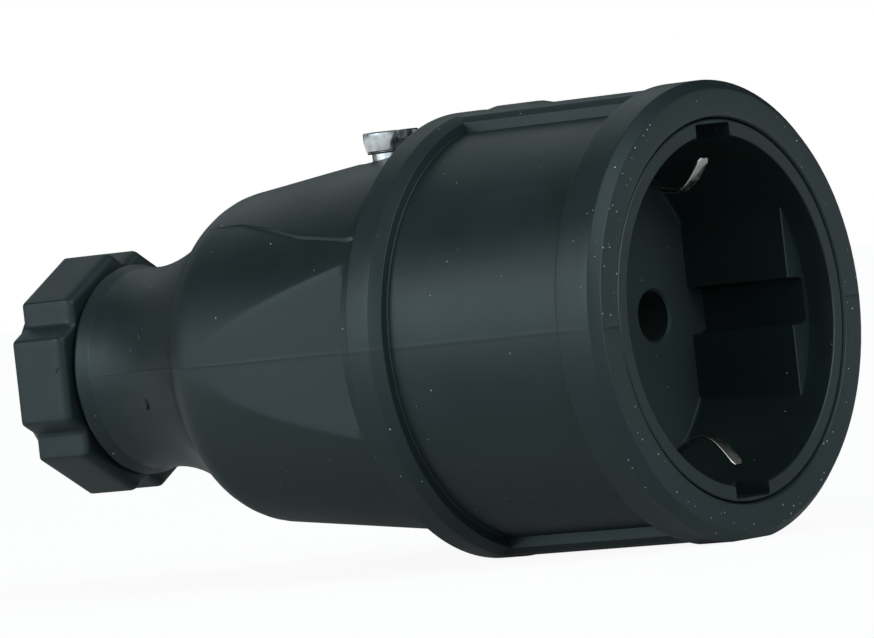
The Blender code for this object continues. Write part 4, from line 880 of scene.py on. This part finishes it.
@dataclass
class EarthContacts:
    """The earth strap's arms, the two bent contact springs and their rivets."""

    root_level: float = 17.4
    arm_reach: float = 3.4
    start: float = 0.8
    apex: float = 12.1
    bulge: float = 3.45
    tip: float = 16.2
    thickness: float = 0.4
    strip_width: float = 2.1
    root_width: float = 3.6
    strap_back: float = -5.3
    strap_level: float = 18.3
    strap_width: float = 5.0
    strap_thickness: float = 0.8
    rivet_x: float = 2.1
    rivet_levels: tuple[float, ...] = (16.5, 16.9, 19.0, 19.4)
    rivet_radii: tuple[float, ...] = (0.6, 0.75, 1.2)
    section: int = 16

    def strip(self, path: Array, width: Array | float,
              thickness: float) -> tuple[Array, list[Sequence[int]]]:
        """Carries a flat oval section along a path in the XZ plane.

        Args:
            path: Array (n, 2) of (x, z).
            width: Width at each point.
            thickness: Thickness of the strip.

        Returns:
            Points and faces; both ends are drawn in and closed.
        """
        along = np.gradient(path, axis=0)
        along /= np.hypot(*along.T)[:, None]
        normal = np.stack((-along[:, 1], along[:, 0]), axis=1)
        turn = full_turn(self.section)
        wide = np.sign(np.cos(turn)) * np.abs(np.cos(turn)) ** 0.25
        high = np.sign(np.sin(turn)) * np.abs(np.sin(turn)) ** 0.5
        shrink = np.ones(len(path))
        shrink[[0, -1]] = 0.6
        y = wide[None] * (width * shrink / 2)[:, None]
        lift = high[None] * (thickness / 2 * shrink)[:, None]
        x = path[:, :1] + normal[:, :1] * lift
        z = path[:, 1:] + normal[:, 1:] * lift
        points = np.stack((x, y, z), axis=-1).reshape(-1, 3)
        faces = grid_quads(len(path), self.section, wrap_rows=False).tolist()
        ends = np.arange(self.section) + np.array(((0,), (len(points) - self.section,)))
        return points, faces + ends.tolist()

    def spring_path(self) -> tuple[Array, Array]:
        """Root plate, a half cosine dip to the apex and a quarter-wave flick to the tip."""
        root = np.linspace(self.start, self.arm_reach, 5)
        dip = np.linspace(0, 1, 26)[1:]
        flick = np.linspace(0, 1, 15)[1:]
        x = np.concatenate((root, self.arm_reach + (self.apex - self.arm_reach) * dip,
                            self.apex + (self.tip - self.apex) * flick))
        z = np.concatenate((np.full(5, self.root_level),
                            self.root_level - self.bulge * (1 - np.cos(np.pi * dip)) / 2,
                            self.root_level - self.bulge * np.cos(np.pi / 2 * flick)))
        taper = np.concatenate((np.zeros(5), np.minimum(1, 3 * dip), np.ones(14)))
        width = self.root_width + (self.strip_width - self.root_width) * taper
        return np.stack((x, z), axis=1), width

    def build(self) -> list[Object]:
        """Both springs, the strap and both rivets."""
        made = []
        path, width = self.spring_path()
        points, faces = self.strip(path, width, self.thickness)
        low, under, over, high = self.rivet_levels
        shank, crown, head = self.rivet_radii
        rivet = rounded_path([(low, 0.0, 0), (low, crown, 0.3), (under, head, 0.1),
                              (under, shank, 0), (over, shank, 0), (over, head, 0.1),
                              (high, crown, 0.3), (high, 0.0, 0)], closed=False, arc_step=25)
        for side, name in ((1, "upper"), (-1, "lower")):
            node = f"{name}_earth_spring"
            made.append(make_piece(f"{name}_contact_spring", points * (1, 1, side), faces, node,
                                   "nickel_plate", [node], sharp=40.0))
            made.append(upright_piece(f"{name}_strap_rivet", rivet * (side, 1), "housing",
                                      "nickel_plate", [f"{name}_earth_rivet"], self.rivet_x,
                                      columns=28))
        reach, back, level = self.arm_reach, self.strap_back, self.strap_level
        corners = [(reach, level, 0), (back, level, 0.8), (back, -level, 0.8), (reach, -level, 0)]
        route = refined(rounded_path(corners, closed=False), lambda m: np.full(len(m), 1.2))
        points, faces = self.strip(route, self.strap_width, self.strap_thickness)
        made.append(make_piece("earth_bow", points, faces, "housing", "nickel_plate",
                               ["earth_strap"], sharp=40.0))
        return made


@dataclass(frozen=True)
class Flake:
    """A small raised crescent of rubber: where it lies, which way it faces, and its half sizes."""

    name: str
    body: str
    slot: str
    centre: tuple[float, float, float]
    outward: tuple[float, float, float]
    lean: float
    half: tuple[float, float, float]
    bend: float

    def build(self) -> Object:
        """Half sunk ellipsoid, bent sideways by bend times the square of its long share.

        With t from pole to pole and v round: long a cos t, across b sin t cos v + bend cos^2 t,
        height c sin t sin v.
        """
        normal = np.array(Vector(self.outward).normalized())
        side = np.cross(normal, (0.0, 0.0, 1.0))
        side /= np.linalg.norm(side)
        up = np.cross(side, normal)
        long = up * math.cos(self.lean) + side * math.sin(self.lean)
        across = np.cross(long, normal)
        rows, columns = 13, 16
        t = np.linspace(0.0, np.pi, rows)[:, None, None]
        v = full_turn(columns)[None, :, None]
        a, b, c = self.half
        points = (np.array(self.centre) + a * np.cos(t) * long + c * np.sin(t) * np.sin(v) * normal
                  + (b * np.sin(t) * np.cos(v) + self.bend * np.cos(t) ** 2) * across)
        quads = grid_quads(rows, columns, wrap_rows=False)
        return make_piece(self.name, points.reshape(-1, 3), quads, self.body, self.slot, sharp=60.0)


FLAKES = (
    Flake("neck_flake_upper", "housing", "moulded_rubber", (-59.02, -12.36, 4.2),
          (0.1, -0.95, 0.32), 0.3, (0.55, 0.2, 0.2), 0.12),
    Flake("neck_flake_lower", "housing", "moulded_rubber", (-58.91, -12.46, -4.0),
          (0.1, -0.95, -0.3), -0.15, (0.7, 0.26, 0.26), -0.2),
    Flake("nut_flake", "gland_nut", "nut_rubber", (-71.2, -13.6, 1.2), (0.2, -1.0, 0.0), -0.7,
          (0.42, 0.16, 0.18), 0.1))


class Wear(Enum):
    """How used a surface looks."""

    CLEAN = 0.0
    HANDLED = 1.0


def add_node(tree: Tree, kind: str, place: tuple[float, float],
             values: dict[str | int, object] | None = None,
             settings: dict[str, object] | None = None) -> Node:
    """Adds a shader node with its input values and settings."""
    node = tree.nodes.new(kind)
    node.location = place
    for name, value in (settings or {}).items():
        setattr(node, name, value)
    for key, value in (values or {}).items():
        node.inputs[key].default_value = value
    return node


def feed(tree: Tree, target: Socket, value: object) -> None:
    """Joins a socket to an input, or sets the input to a plain value."""
    if isinstance(value, Socket):
        tree.links.new(value, target)
    else:
        target.default_value = value


def math_node(tree: Tree, operation: str, first: object, second: object) -> Socket:
    """Adds a Math node and joins or sets its two inputs.

    Args:
        tree: Node tree.
        operation: Operation's name.
        first: A socket or a number.
        second: A socket or a number.

    Returns:
        The output socket.
    """
    node = add_node(tree, "ShaderNodeMath", (0, 0), settings={"operation": operation})
    feed(tree, node.inputs[0], first)
    feed(tree, node.inputs[1], second)
    return node.outputs[0]


def colour_mix(tree: Tree, share: Socket, first: object, second: object) -> Socket:
    """Adds a Mix node between two colours, each a socket or a plain colour (r, g, b, 1)."""
    node = add_node(tree, "ShaderNodeMix", (-500, 200), settings={"data_type": "RGBA"})
    feed(tree, node.inputs["Factor"], share)
    feed(tree, node.inputs["A"], first)
    feed(tree, node.inputs["B"], second)
    return node.outputs["Result"]


def map_range(tree: Tree, value: Socket, low: float, high: float,
              to_low: float = 0.0, to_high: float = 1.0, smooth: bool = False) -> Socket:
    """Adds a clamped Map Range node, straight or as a smooth step."""
    node = add_node(tree, "ShaderNodeMapRange", (0, 0), {
        "From Min": low, "From Max": high, "To Min": to_low, "To Max": to_high},
        {"interpolation_type": "SMOOTHSTEP" if smooth else "LINEAR"})
    tree.links.new(value, node.inputs["Value"])
    return node.outputs["Result"]


def new_group(name: str, inputs: dict[str, float],
              outputs: Sequence[str]) -> tuple[Tree, Sequence[Socket], Sequence[Socket]]:
    """Starts a shader node group with a Vector input, float inputs and float outputs.

    Args:
        name: Name of the group.
        inputs: Names and first values of its float inputs.
        outputs: Names of its float outputs.

    Returns:
        The group, the sockets that bring its inputs in, and those that take its outputs.
    """
    group = bpy.data.node_groups.new(name, "ShaderNodeTree")
    group.interface.new_socket("Vector", in_out="INPUT", socket_type="NodeSocketVector")
    for label, value in inputs.items():
        socket = group.interface.new_socket(label, in_out="INPUT", socket_type="NodeSocketFloat")
        socket.default_value = value
    for label in outputs:
        group.interface.new_socket(label, in_out="OUTPUT", socket_type="NodeSocketFloat")
    source = group.nodes.new("NodeGroupInput").outputs
    return group, source, group.nodes.new("NodeGroupOutput").inputs


def noise(tree: Tree, vector: Socket, scale: object, detail: float = 3.0,
          roughness: float = 0.5) -> Socket:
    """Adds a Noise Texture, its scale a socket or a number, and gives its factor."""
    node = add_node(tree, "ShaderNodeTexNoise", (0, 0), {"Detail": detail, "Roughness": roughness})
    feed(tree, node.inputs["Vector"], vector)
    feed(tree, node.inputs["Scale"], scale)
    return node.outputs["Fac"]


def new_material(name: str) -> tuple[Material, Node, Socket]:
    """Starts a node material, and gives it with its shader and its Object coordinates."""
    material = bpy.data.materials.new(name)
    material.use_nodes = True
    tree = material.node_tree
    where = add_node(tree, "ShaderNodeTexCoord", (-1200, 0)).outputs["Object"]
    return material, tree.nodes["Principled BSDF"], where


def mix_shaders(tree: Tree, share: Socket, first: Socket, second: Socket, end: str) -> None:
    """Feeds the end node's surface with the first shader, or the second where the share is 1."""
    mix = add_node(tree, "ShaderNodeMixShader", (300, 0))
    tree.links.new(share, mix.inputs["Fac"])
    tree.links.new(first, mix.inputs[1])
    tree.links.new(second, mix.inputs[2])
    tree.links.new(mix.outputs["Shader"], tree.nodes[end].inputs["Surface"])


def place_group(tree: Tree, group: Tree, where: Socket, values: dict[str, float]) -> Node:
    """Places a shared group in a material, with the material's own values."""
    node = add_node(tree, "ShaderNodeGroup", (-900, 0), values, {"node_tree": group})
    tree.links.new(where, node.inputs["Vector"])
    return node


def dress(tree: Tree, shader: Node, colour: Socket, rough: Socket, height: Socket,
          depth: float) -> None:
    """Feeds a shader its colour and roughness, and a bump of the height, depth in millimetres."""
    tree.links.new(colour, shader.inputs["Base Color"])
    tree.links.new(rough, shader.inputs["Roughness"])
    bump = add_node(tree, "ShaderNodeBump", (-250, -200), {"Distance": depth * MM})
    tree.links.new(height, bump.inputs["Height"])
    tree.links.new(bump.outputs["Normal"], shader.inputs["Normal"])


class Effects:
    """Shader node groups that several finishes share, each built once."""

    def __init__(self) -> None:
        """Builds the groups."""
        self.moulded = self.build_moulded()
        self.specks = self.build_specks()
        self.plated = self.build_plated()

    def build_moulded(self) -> Tree:
        """Mould skin: fine grain height, slow cloudiness and faint flow streaks along X."""
        group, source, sink = new_group("moulded_skin", {"Grain Scale": 2600.0},
                                        ["Height", "Cloud", "Streak"])
        grain = noise(group, source["Vector"], source["Grain Scale"], 2.0, 0.6)
        group.links.new(grain, sink["Height"])
        cloud = noise(group, source["Vector"], 90.0, 4.0)
        group.links.new(map_range(group, cloud, 0.32, 0.68), sink["Cloud"])
        stretch = add_node(group, "ShaderNodeMapping", (0, 0), {"Scale": (0.12, 1.0, 1.0)})
        group.links.new(source["Vector"], stretch.inputs["Vector"])
        streak = noise(group, stretch.outputs["Vector"], 420.0)
        group.links.new(map_range(group, streak, 0.35, 0.7), sink["Streak"])
        return group

    def build_specks(self) -> Tree:
        """Small separate specks: the near part of scattered cells, of which only a few are kept."""
        group, source, sink = new_group(
            "dust_specks", {"Scale": 900.0, "Share": 0.1, "Size": 0.25}, ["Mask"])
        cells = add_node(group, "ShaderNodeTexVoronoi", (0, 0))
        group.links.new(source["Vector"], cells.inputs["Vector"])
        group.links.new(source["Scale"], cells.inputs["Scale"])
        tone = add_node(group, "ShaderNodeSeparateColor", (0, 0))
        group.links.new(cells.outputs["Color"], tone.inputs[0])
        chosen = math_node(group, "LESS_THAN", tone.outputs[0], source["Share"])
        size = math_node(group, "MULTIPLY", tone.outputs[1], source["Size"])
        near = math_node(group, "LESS_THAN", cells.outputs["Distance"], size)
        group.links.new(math_node(group, "MULTIPLY", chosen, near), sink["Mask"])
        return group

    def build_plated(self) -> Tree:
        """Plated metal: fine uneven height and blotches."""
        group, source, sink = new_group("plated_skin", {"Scale": 1500.0}, ["Height", "Blotch"])
        grain = noise(group, source["Vector"], source["Scale"], 4.0, 0.65)
        group.links.new(grain, sink["Height"])
        blotch = noise(group, source["Vector"], 700.0)
        group.links.new(map_range(group, blotch, 0.35, 0.65), sink["Blotch"])
        return group


@dataclass(frozen=True)
class MouldedFinish:
    """Rubber or plastic with mould grain, cloudiness and a few dust specks."""

    name: str
    dark: Colour
    light: Colour
    roughness: float = 0.55
    grain_scale: float = 2600.0
    grain_height: float = 0.012
    gloss_tint: Colour = (0.8, 0.97, 1.0)
    speck_share: float = 0.04
    front_speck_share: float = 0.3
    front: tuple[float, float] = (15.5, 17.3)
    speck_scale: float = 1500.0
    speck_size: float = 0.16
    speck_colour: Colour = (0.45, 0.5, 0.51)
    floor_level: float = 0.3
    matt_floor: float = 0.0
    wear: Wear = Wear.HANDLED

    def build(self, effects: Effects) -> Material:
        """Builds the material from the shared groups.

        The specks are denser on the rim's face than elsewhere, and a recess's floor may be
        rougher than the rest.
        """
        material, shader, where = new_material(self.name)
        tree = material.node_tree
        shader.inputs["Specular Tint"].default_value = (*self.gloss_tint, 1.0)
        skin = place_group(tree, effects.moulded, where, {"Grain Scale": self.grain_scale})
        tone = math_node(tree, "ADD", math_node(tree, "MULTIPLY", skin.outputs["Cloud"], 0.6),
                         math_node(tree, "MULTIPLY", skin.outputs["Streak"], 0.4))
        rubber = colour_mix(tree, tone, (*self.dark, 1.0), (*self.light, 1.0))
        specks = place_group(tree, effects.specks, where,
                             {"Scale": self.speck_scale, "Size": self.speck_size})
        axial = add_node(tree, "ShaderNodeSeparateXYZ", (-1000, -400))
        tree.links.new(where, axial.inputs[0])
        share = map_range(tree, axial.outputs["X"], self.front[0] * MM, self.front[1] * MM,
                          self.speck_share * self.wear.value,
                          self.front_speck_share * self.wear.value)
        tree.links.new(share, specks.inputs["Share"])
        dusty = colour_mix(tree, specks.outputs["Mask"], rubber, (*self.speck_colour, 1.0))
        rough = map_range(tree, skin.outputs["Cloud"], 0.0, 1.0, self.roughness - 0.05,
                          self.roughness + 0.05)
        if self.matt_floor:
            floor = math_node(tree, "LESS_THAN", axial.outputs["X"], self.floor_level * MM)
            floor = math_node(tree, "MULTIPLY", floor, self.matt_floor)
            rough = math_node(tree, "ADD", rough, floor)
        dress(tree, shader, dusty, rough, skin.outputs["Height"], self.grain_height)
        return material


@dataclass(frozen=True)
class PlatedFinish:
    """Plated or plain metal with a fine uneven skin."""

    name: str
    dark: Colour
    light: Colour
    roughness: float = 0.28
    height: float = 0.01
    scale: float = 1500.0

    def build(self, effects: Effects) -> Material:
        """Builds the material from the shared group."""
        material, shader, where = new_material(self.name)
        tree = material.node_tree
        shader.inputs["Metallic"].default_value = 1.0
        skin = place_group(tree, effects.plated, where, {"Scale": self.scale})
        blotch = skin.outputs["Blotch"]
        metal = colour_mix(tree, blotch, (*self.dark, 1.0), (*self.light, 1.0))
        rough = map_range(tree, blotch, 0.0, 1.0, self.roughness - 0.06, self.roughness + 0.08)
        dress(tree, shader, metal, rough, skin.outputs["Height"], self.height)
        return material


@dataclass(frozen=True)
class StudioCamera:
    """The photograph's view: place, turned axes and focal length in pixels."""

    focal: float = 7184.45
    sensor: float = 36.0
    place: tuple[float, float, float] = (487.14, -659.29, 12.91)
    right: tuple[float, float, float] = (0.78608, 0.60789, -0.11202)
    up: tuple[float, float, float] = (0.08084, 0.07856, 0.99363)

    def build(self) -> Object:
        """Makes the scene's camera."""
        data = bpy.data.cameras.new("view")
        data.sensor_width = self.sensor
        data.lens = self.focal * self.sensor / IMAGE_WIDTH
        data.clip_start = 0.01
        camera = scene_object("view", data)
        right, up = Vector(self.right), Vector(self.up)
        back = right.cross(up).normalized()
        up = back.cross(right.normalized())
        turned = Matrix((right.normalized(), up, back)).transposed().to_4x4()
        camera.matrix_world = Matrix.Translation(Vector(self.place) * MM) @ turned
        bpy.context.scene.camera = camera
        return camera


@dataclass(frozen=True)
class Lamp:
    """A soft rectangular lamp aimed at the coupler."""

    name: str
    place: tuple[float, float, float]
    size: tuple[float, float]
    power: float
    aim: tuple[float, float, float] = (-0.03, 0.0, 0.0)

    def build(self) -> Object:
        """Makes the lamp."""
        data = bpy.data.lights.new(self.name, "AREA")
        data.shape = "RECTANGLE"
        data.size, data.size_y = self.size
        data.energy = self.power
        lamp = scene_object(self.name, data)
        lamp.location = self.place
        towards = Vector(self.aim) - Vector(self.place)
        lamp.rotation_euler = towards.to_track_quat("-Z", "Y").to_euler()
        return lamp


@dataclass(frozen=True)
class Glow:
    """A soft bright region of the surroundings, round a direction.

    Its share rises from 0 to 1 as the cosine to the direction goes from edge to core.
    """

    direction: tuple[float, float, float]
    edge: float
    core: float
    strength: float


@dataclass
class Studio:
    """Pale floor, soft surroundings that the camera sees as white, and lamps."""

    floor_level: float = -25.86
    floor_half: float = 3.0
    floor_colour: Colour = (0.7, 0.7, 0.7)
    floor_glow: float = 1.15
    floor_share: float = 0.8
    near_gleam: float = 0.03
    far_gleam: float = 0.5
    gleam_span: tuple[float, float] = (0.07, 0.35)
    ambient: float = 0.0
    tint: Colour = (0.86, 0.97, 1.0)
    glows: tuple[Glow, ...] = (
        Glow((-0.62, -0.78, 0.05), 0.85, 0.985, 1.3),
        Glow((-0.05, -0.99, 0.1), 0.75, 0.97, 1.27),
        Glow((-0.6, 0.5, 0.62), 0.86, 0.98, 0.45),
        Glow((0.6, 0.78, 0.1), 0.6, 0.95, 0.1),
        Glow((1.0, 0.0, 0.05), 0.85, 0.99, 2.55),
        Glow((0.75, -0.2, 0.62), 0.8, 0.97, 1.5),
        Glow((0.0, 0.0, 1.0), 0.7, 0.97, 0.19),
        Glow((-1.0, 0.0, 0.1), 0.8, 0.97, 0.13))
    lamps: tuple[Lamp, ...] = (Lamp("key", (-0.35, -0.9, 0.45), (0.5, 0.3), 1.5),)

    def add_floor(self) -> None:
        """Makes the floor, which glows white to the camera and still takes the shadow.

        To reflections it also glows, more so the farther it lies from the coupler.
        """
        half, z = self.floor_half, self.floor_level * MM
        mesh = bpy.data.meshes.new("floor")
        mesh.from_pydata([(-half, -half, z), (half, -half, z), (half, half, z), (-half, half, z)],
                         [], [(0, 1, 2, 3)])
        floor = scene_object("floor", mesh)
        material, shader, where = new_material("pale_floor")
        tree = material.node_tree
        shader.inputs["Base Color"].default_value = (*self.floor_colour, 1.0)
        shader.inputs["Roughness"].default_value = 0.9
        shader.inputs["Specular IOR Level"].default_value = 0.1
        path = add_node(tree, "ShaderNodeLightPath", (-300, 300))
        glow = add_node(tree, "ShaderNodeEmission", (0, -300), {"Strength": self.floor_glow})
        seen = math_node(tree, "MULTIPLY", path.outputs["Is Camera Ray"], self.floor_share)
        away = add_node(tree, "ShaderNodeVectorMath", (-700, 0), settings={"operation": "LENGTH"})
        tree.links.new(where, away.inputs[0])
        gleam = map_range(tree, away.outputs["Value"], *self.gleam_span, self.near_gleam,
                          self.far_gleam)
        gleam = math_node(tree, "MULTIPLY", path.outputs["Is Glossy Ray"], gleam)
        mix_shaders(tree, math_node(tree, "ADD", seen, gleam), shader.outputs["BSDF"],
                    glow.outputs["Emission"], "Material Output")
        mesh.materials.append(material)

    def add_surroundings(self) -> None:
        """Makes the world: white to the camera, and the sum of the glows to everything else."""
        world = bpy.data.worlds.new("studio")
        bpy.context.scene.world = world
        world.use_nodes = True
        tree = world.node_tree
        background = tree.nodes["Background"]
        background.inputs["Color"].default_value = (*self.tint, 1.0)
        where = add_node(tree, "ShaderNodeTexCoord", (-900, 0)).outputs["Generated"]
        total: Socket | float = self.ambient
        for glow in self.glows:
            towards = Vector(glow.direction).normalized()
            near = add_node(tree, "ShaderNodeVectorMath", (-700, 0), {1: towards},
                            {"operation": "DOT_PRODUCT"})
            tree.links.new(where, near.inputs[0])
            share = map_range(tree, near.outputs["Value"], glow.edge, glow.core, 0.0, glow.strength,
                              smooth=True)
            total = math_node(tree, "ADD", share, total)
        tree.links.new(total, background.inputs["Strength"])
        white = add_node(tree, "ShaderNodeBackground", (0, -200))
        white.inputs["Color"].default_value = (1.0, 1.0, 1.0, 1.0)
        path = add_node(tree, "ShaderNodeLightPath", (0, 300))
        mix_shaders(tree, path.outputs["Is Camera Ray"], background.outputs["Background"],
                    white.outputs["Background"], "World Output")

    def build(self) -> None:
        """Makes the floor, the surroundings and the lamps."""
        self.add_floor()
        self.add_surroundings()
        for lamp in self.lamps:
            lamp.build()


FINISHES = {
    "moulded_rubber": MouldedFinish("rubber_skin", (0.014, 0.022, 0.023), (0.018, 0.027, 0.029),
                                    roughness=0.4),
    "nut_rubber": MouldedFinish("nut_skin", (0.014, 0.022, 0.024), (0.018, 0.027, 0.03),
                                roughness=0.42),
    "grommet_rubber": MouldedFinish("grommet_skin", (0.03, 0.03, 0.032), (0.042, 0.042, 0.044),
                                    roughness=0.7),
    "hard_plastic": MouldedFinish("cup_plastic", (0.011, 0.018, 0.017), (0.015, 0.023, 0.022),
                                  roughness=0.36, grain_height=0.006, speck_share=0.02,
                                  matt_floor=0.26),
    "carrier_plastic": MouldedFinish("carrier_plastic", (0.08, 0.085, 0.09), (0.1, 0.105, 0.11),
                                     roughness=0.5, wear=Wear.CLEAN),
    "washer_plastic": MouldedFinish("washer_plastic", (0.018, 0.02, 0.022), (0.024, 0.026, 0.028),
                                    roughness=0.4),
    # Near-black washer finish: painted shade. The washer under the screw head stands for that
    # head's shadow line.
    "washer_fibre": MouldedFinish("washer_fibre", (0.012, 0.01, 0.009), (0.02, 0.017, 0.014),
                                  roughness=0.75),
    "zinc_plate": PlatedFinish("zinc_skin", (0.52, 0.56, 0.6), (0.84, 0.86, 0.88), roughness=0.17),
    "nickel_plate": PlatedFinish("nickel_skin", (0.62, 0.6, 0.56), (0.74, 0.72, 0.68),
                                 roughness=0.22),
    "contact_brass": PlatedFinish("brass_skin", (0.6, 0.42, 0.18), (0.74, 0.54, 0.27),
                                  roughness=0.3),
    "spring_steel": PlatedFinish("steel_skin", (0.36, 0.37, 0.39), (0.48, 0.49, 0.5)),
}


def main() -> None:
    """Builds the camera, the pieces, their finishes and the studio."""
    logging.basicConfig(level=logging.INFO, format="%(message)s")
    bpy.context.scene.view_settings.view_transform = "Standard"
    StudioCamera().build()
    Studio().build()
    effects = Effects()
    finishes = {slot: finish.build(effects) for slot, finish in FINISHES.items()}
    screw = CoverScrew()
    pieces = [HousingShell().build(), SocketCup().build(), GlandNut().build(), screw.build(),
              screw.build_washer(), *EarthContacts().build(),
              *(flake.build() for flake in FLAKES)]
    for piece in pieces:
        piece.data.materials.clear()
        piece.data.materials.append(finishes[piece["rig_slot"]])
    slots = {part["node"]: part["material_slot"] for part in frame["record"]["subparts"]}
    for node, solid in frame["nodes"].items():
        solid.data.materials.clear()
        solid.data.materials.append(finishes[slots[node]])
        LOG.info("%s keeps its solid in %s", node, slots[node])


if __name__ == "__main__":
    main()
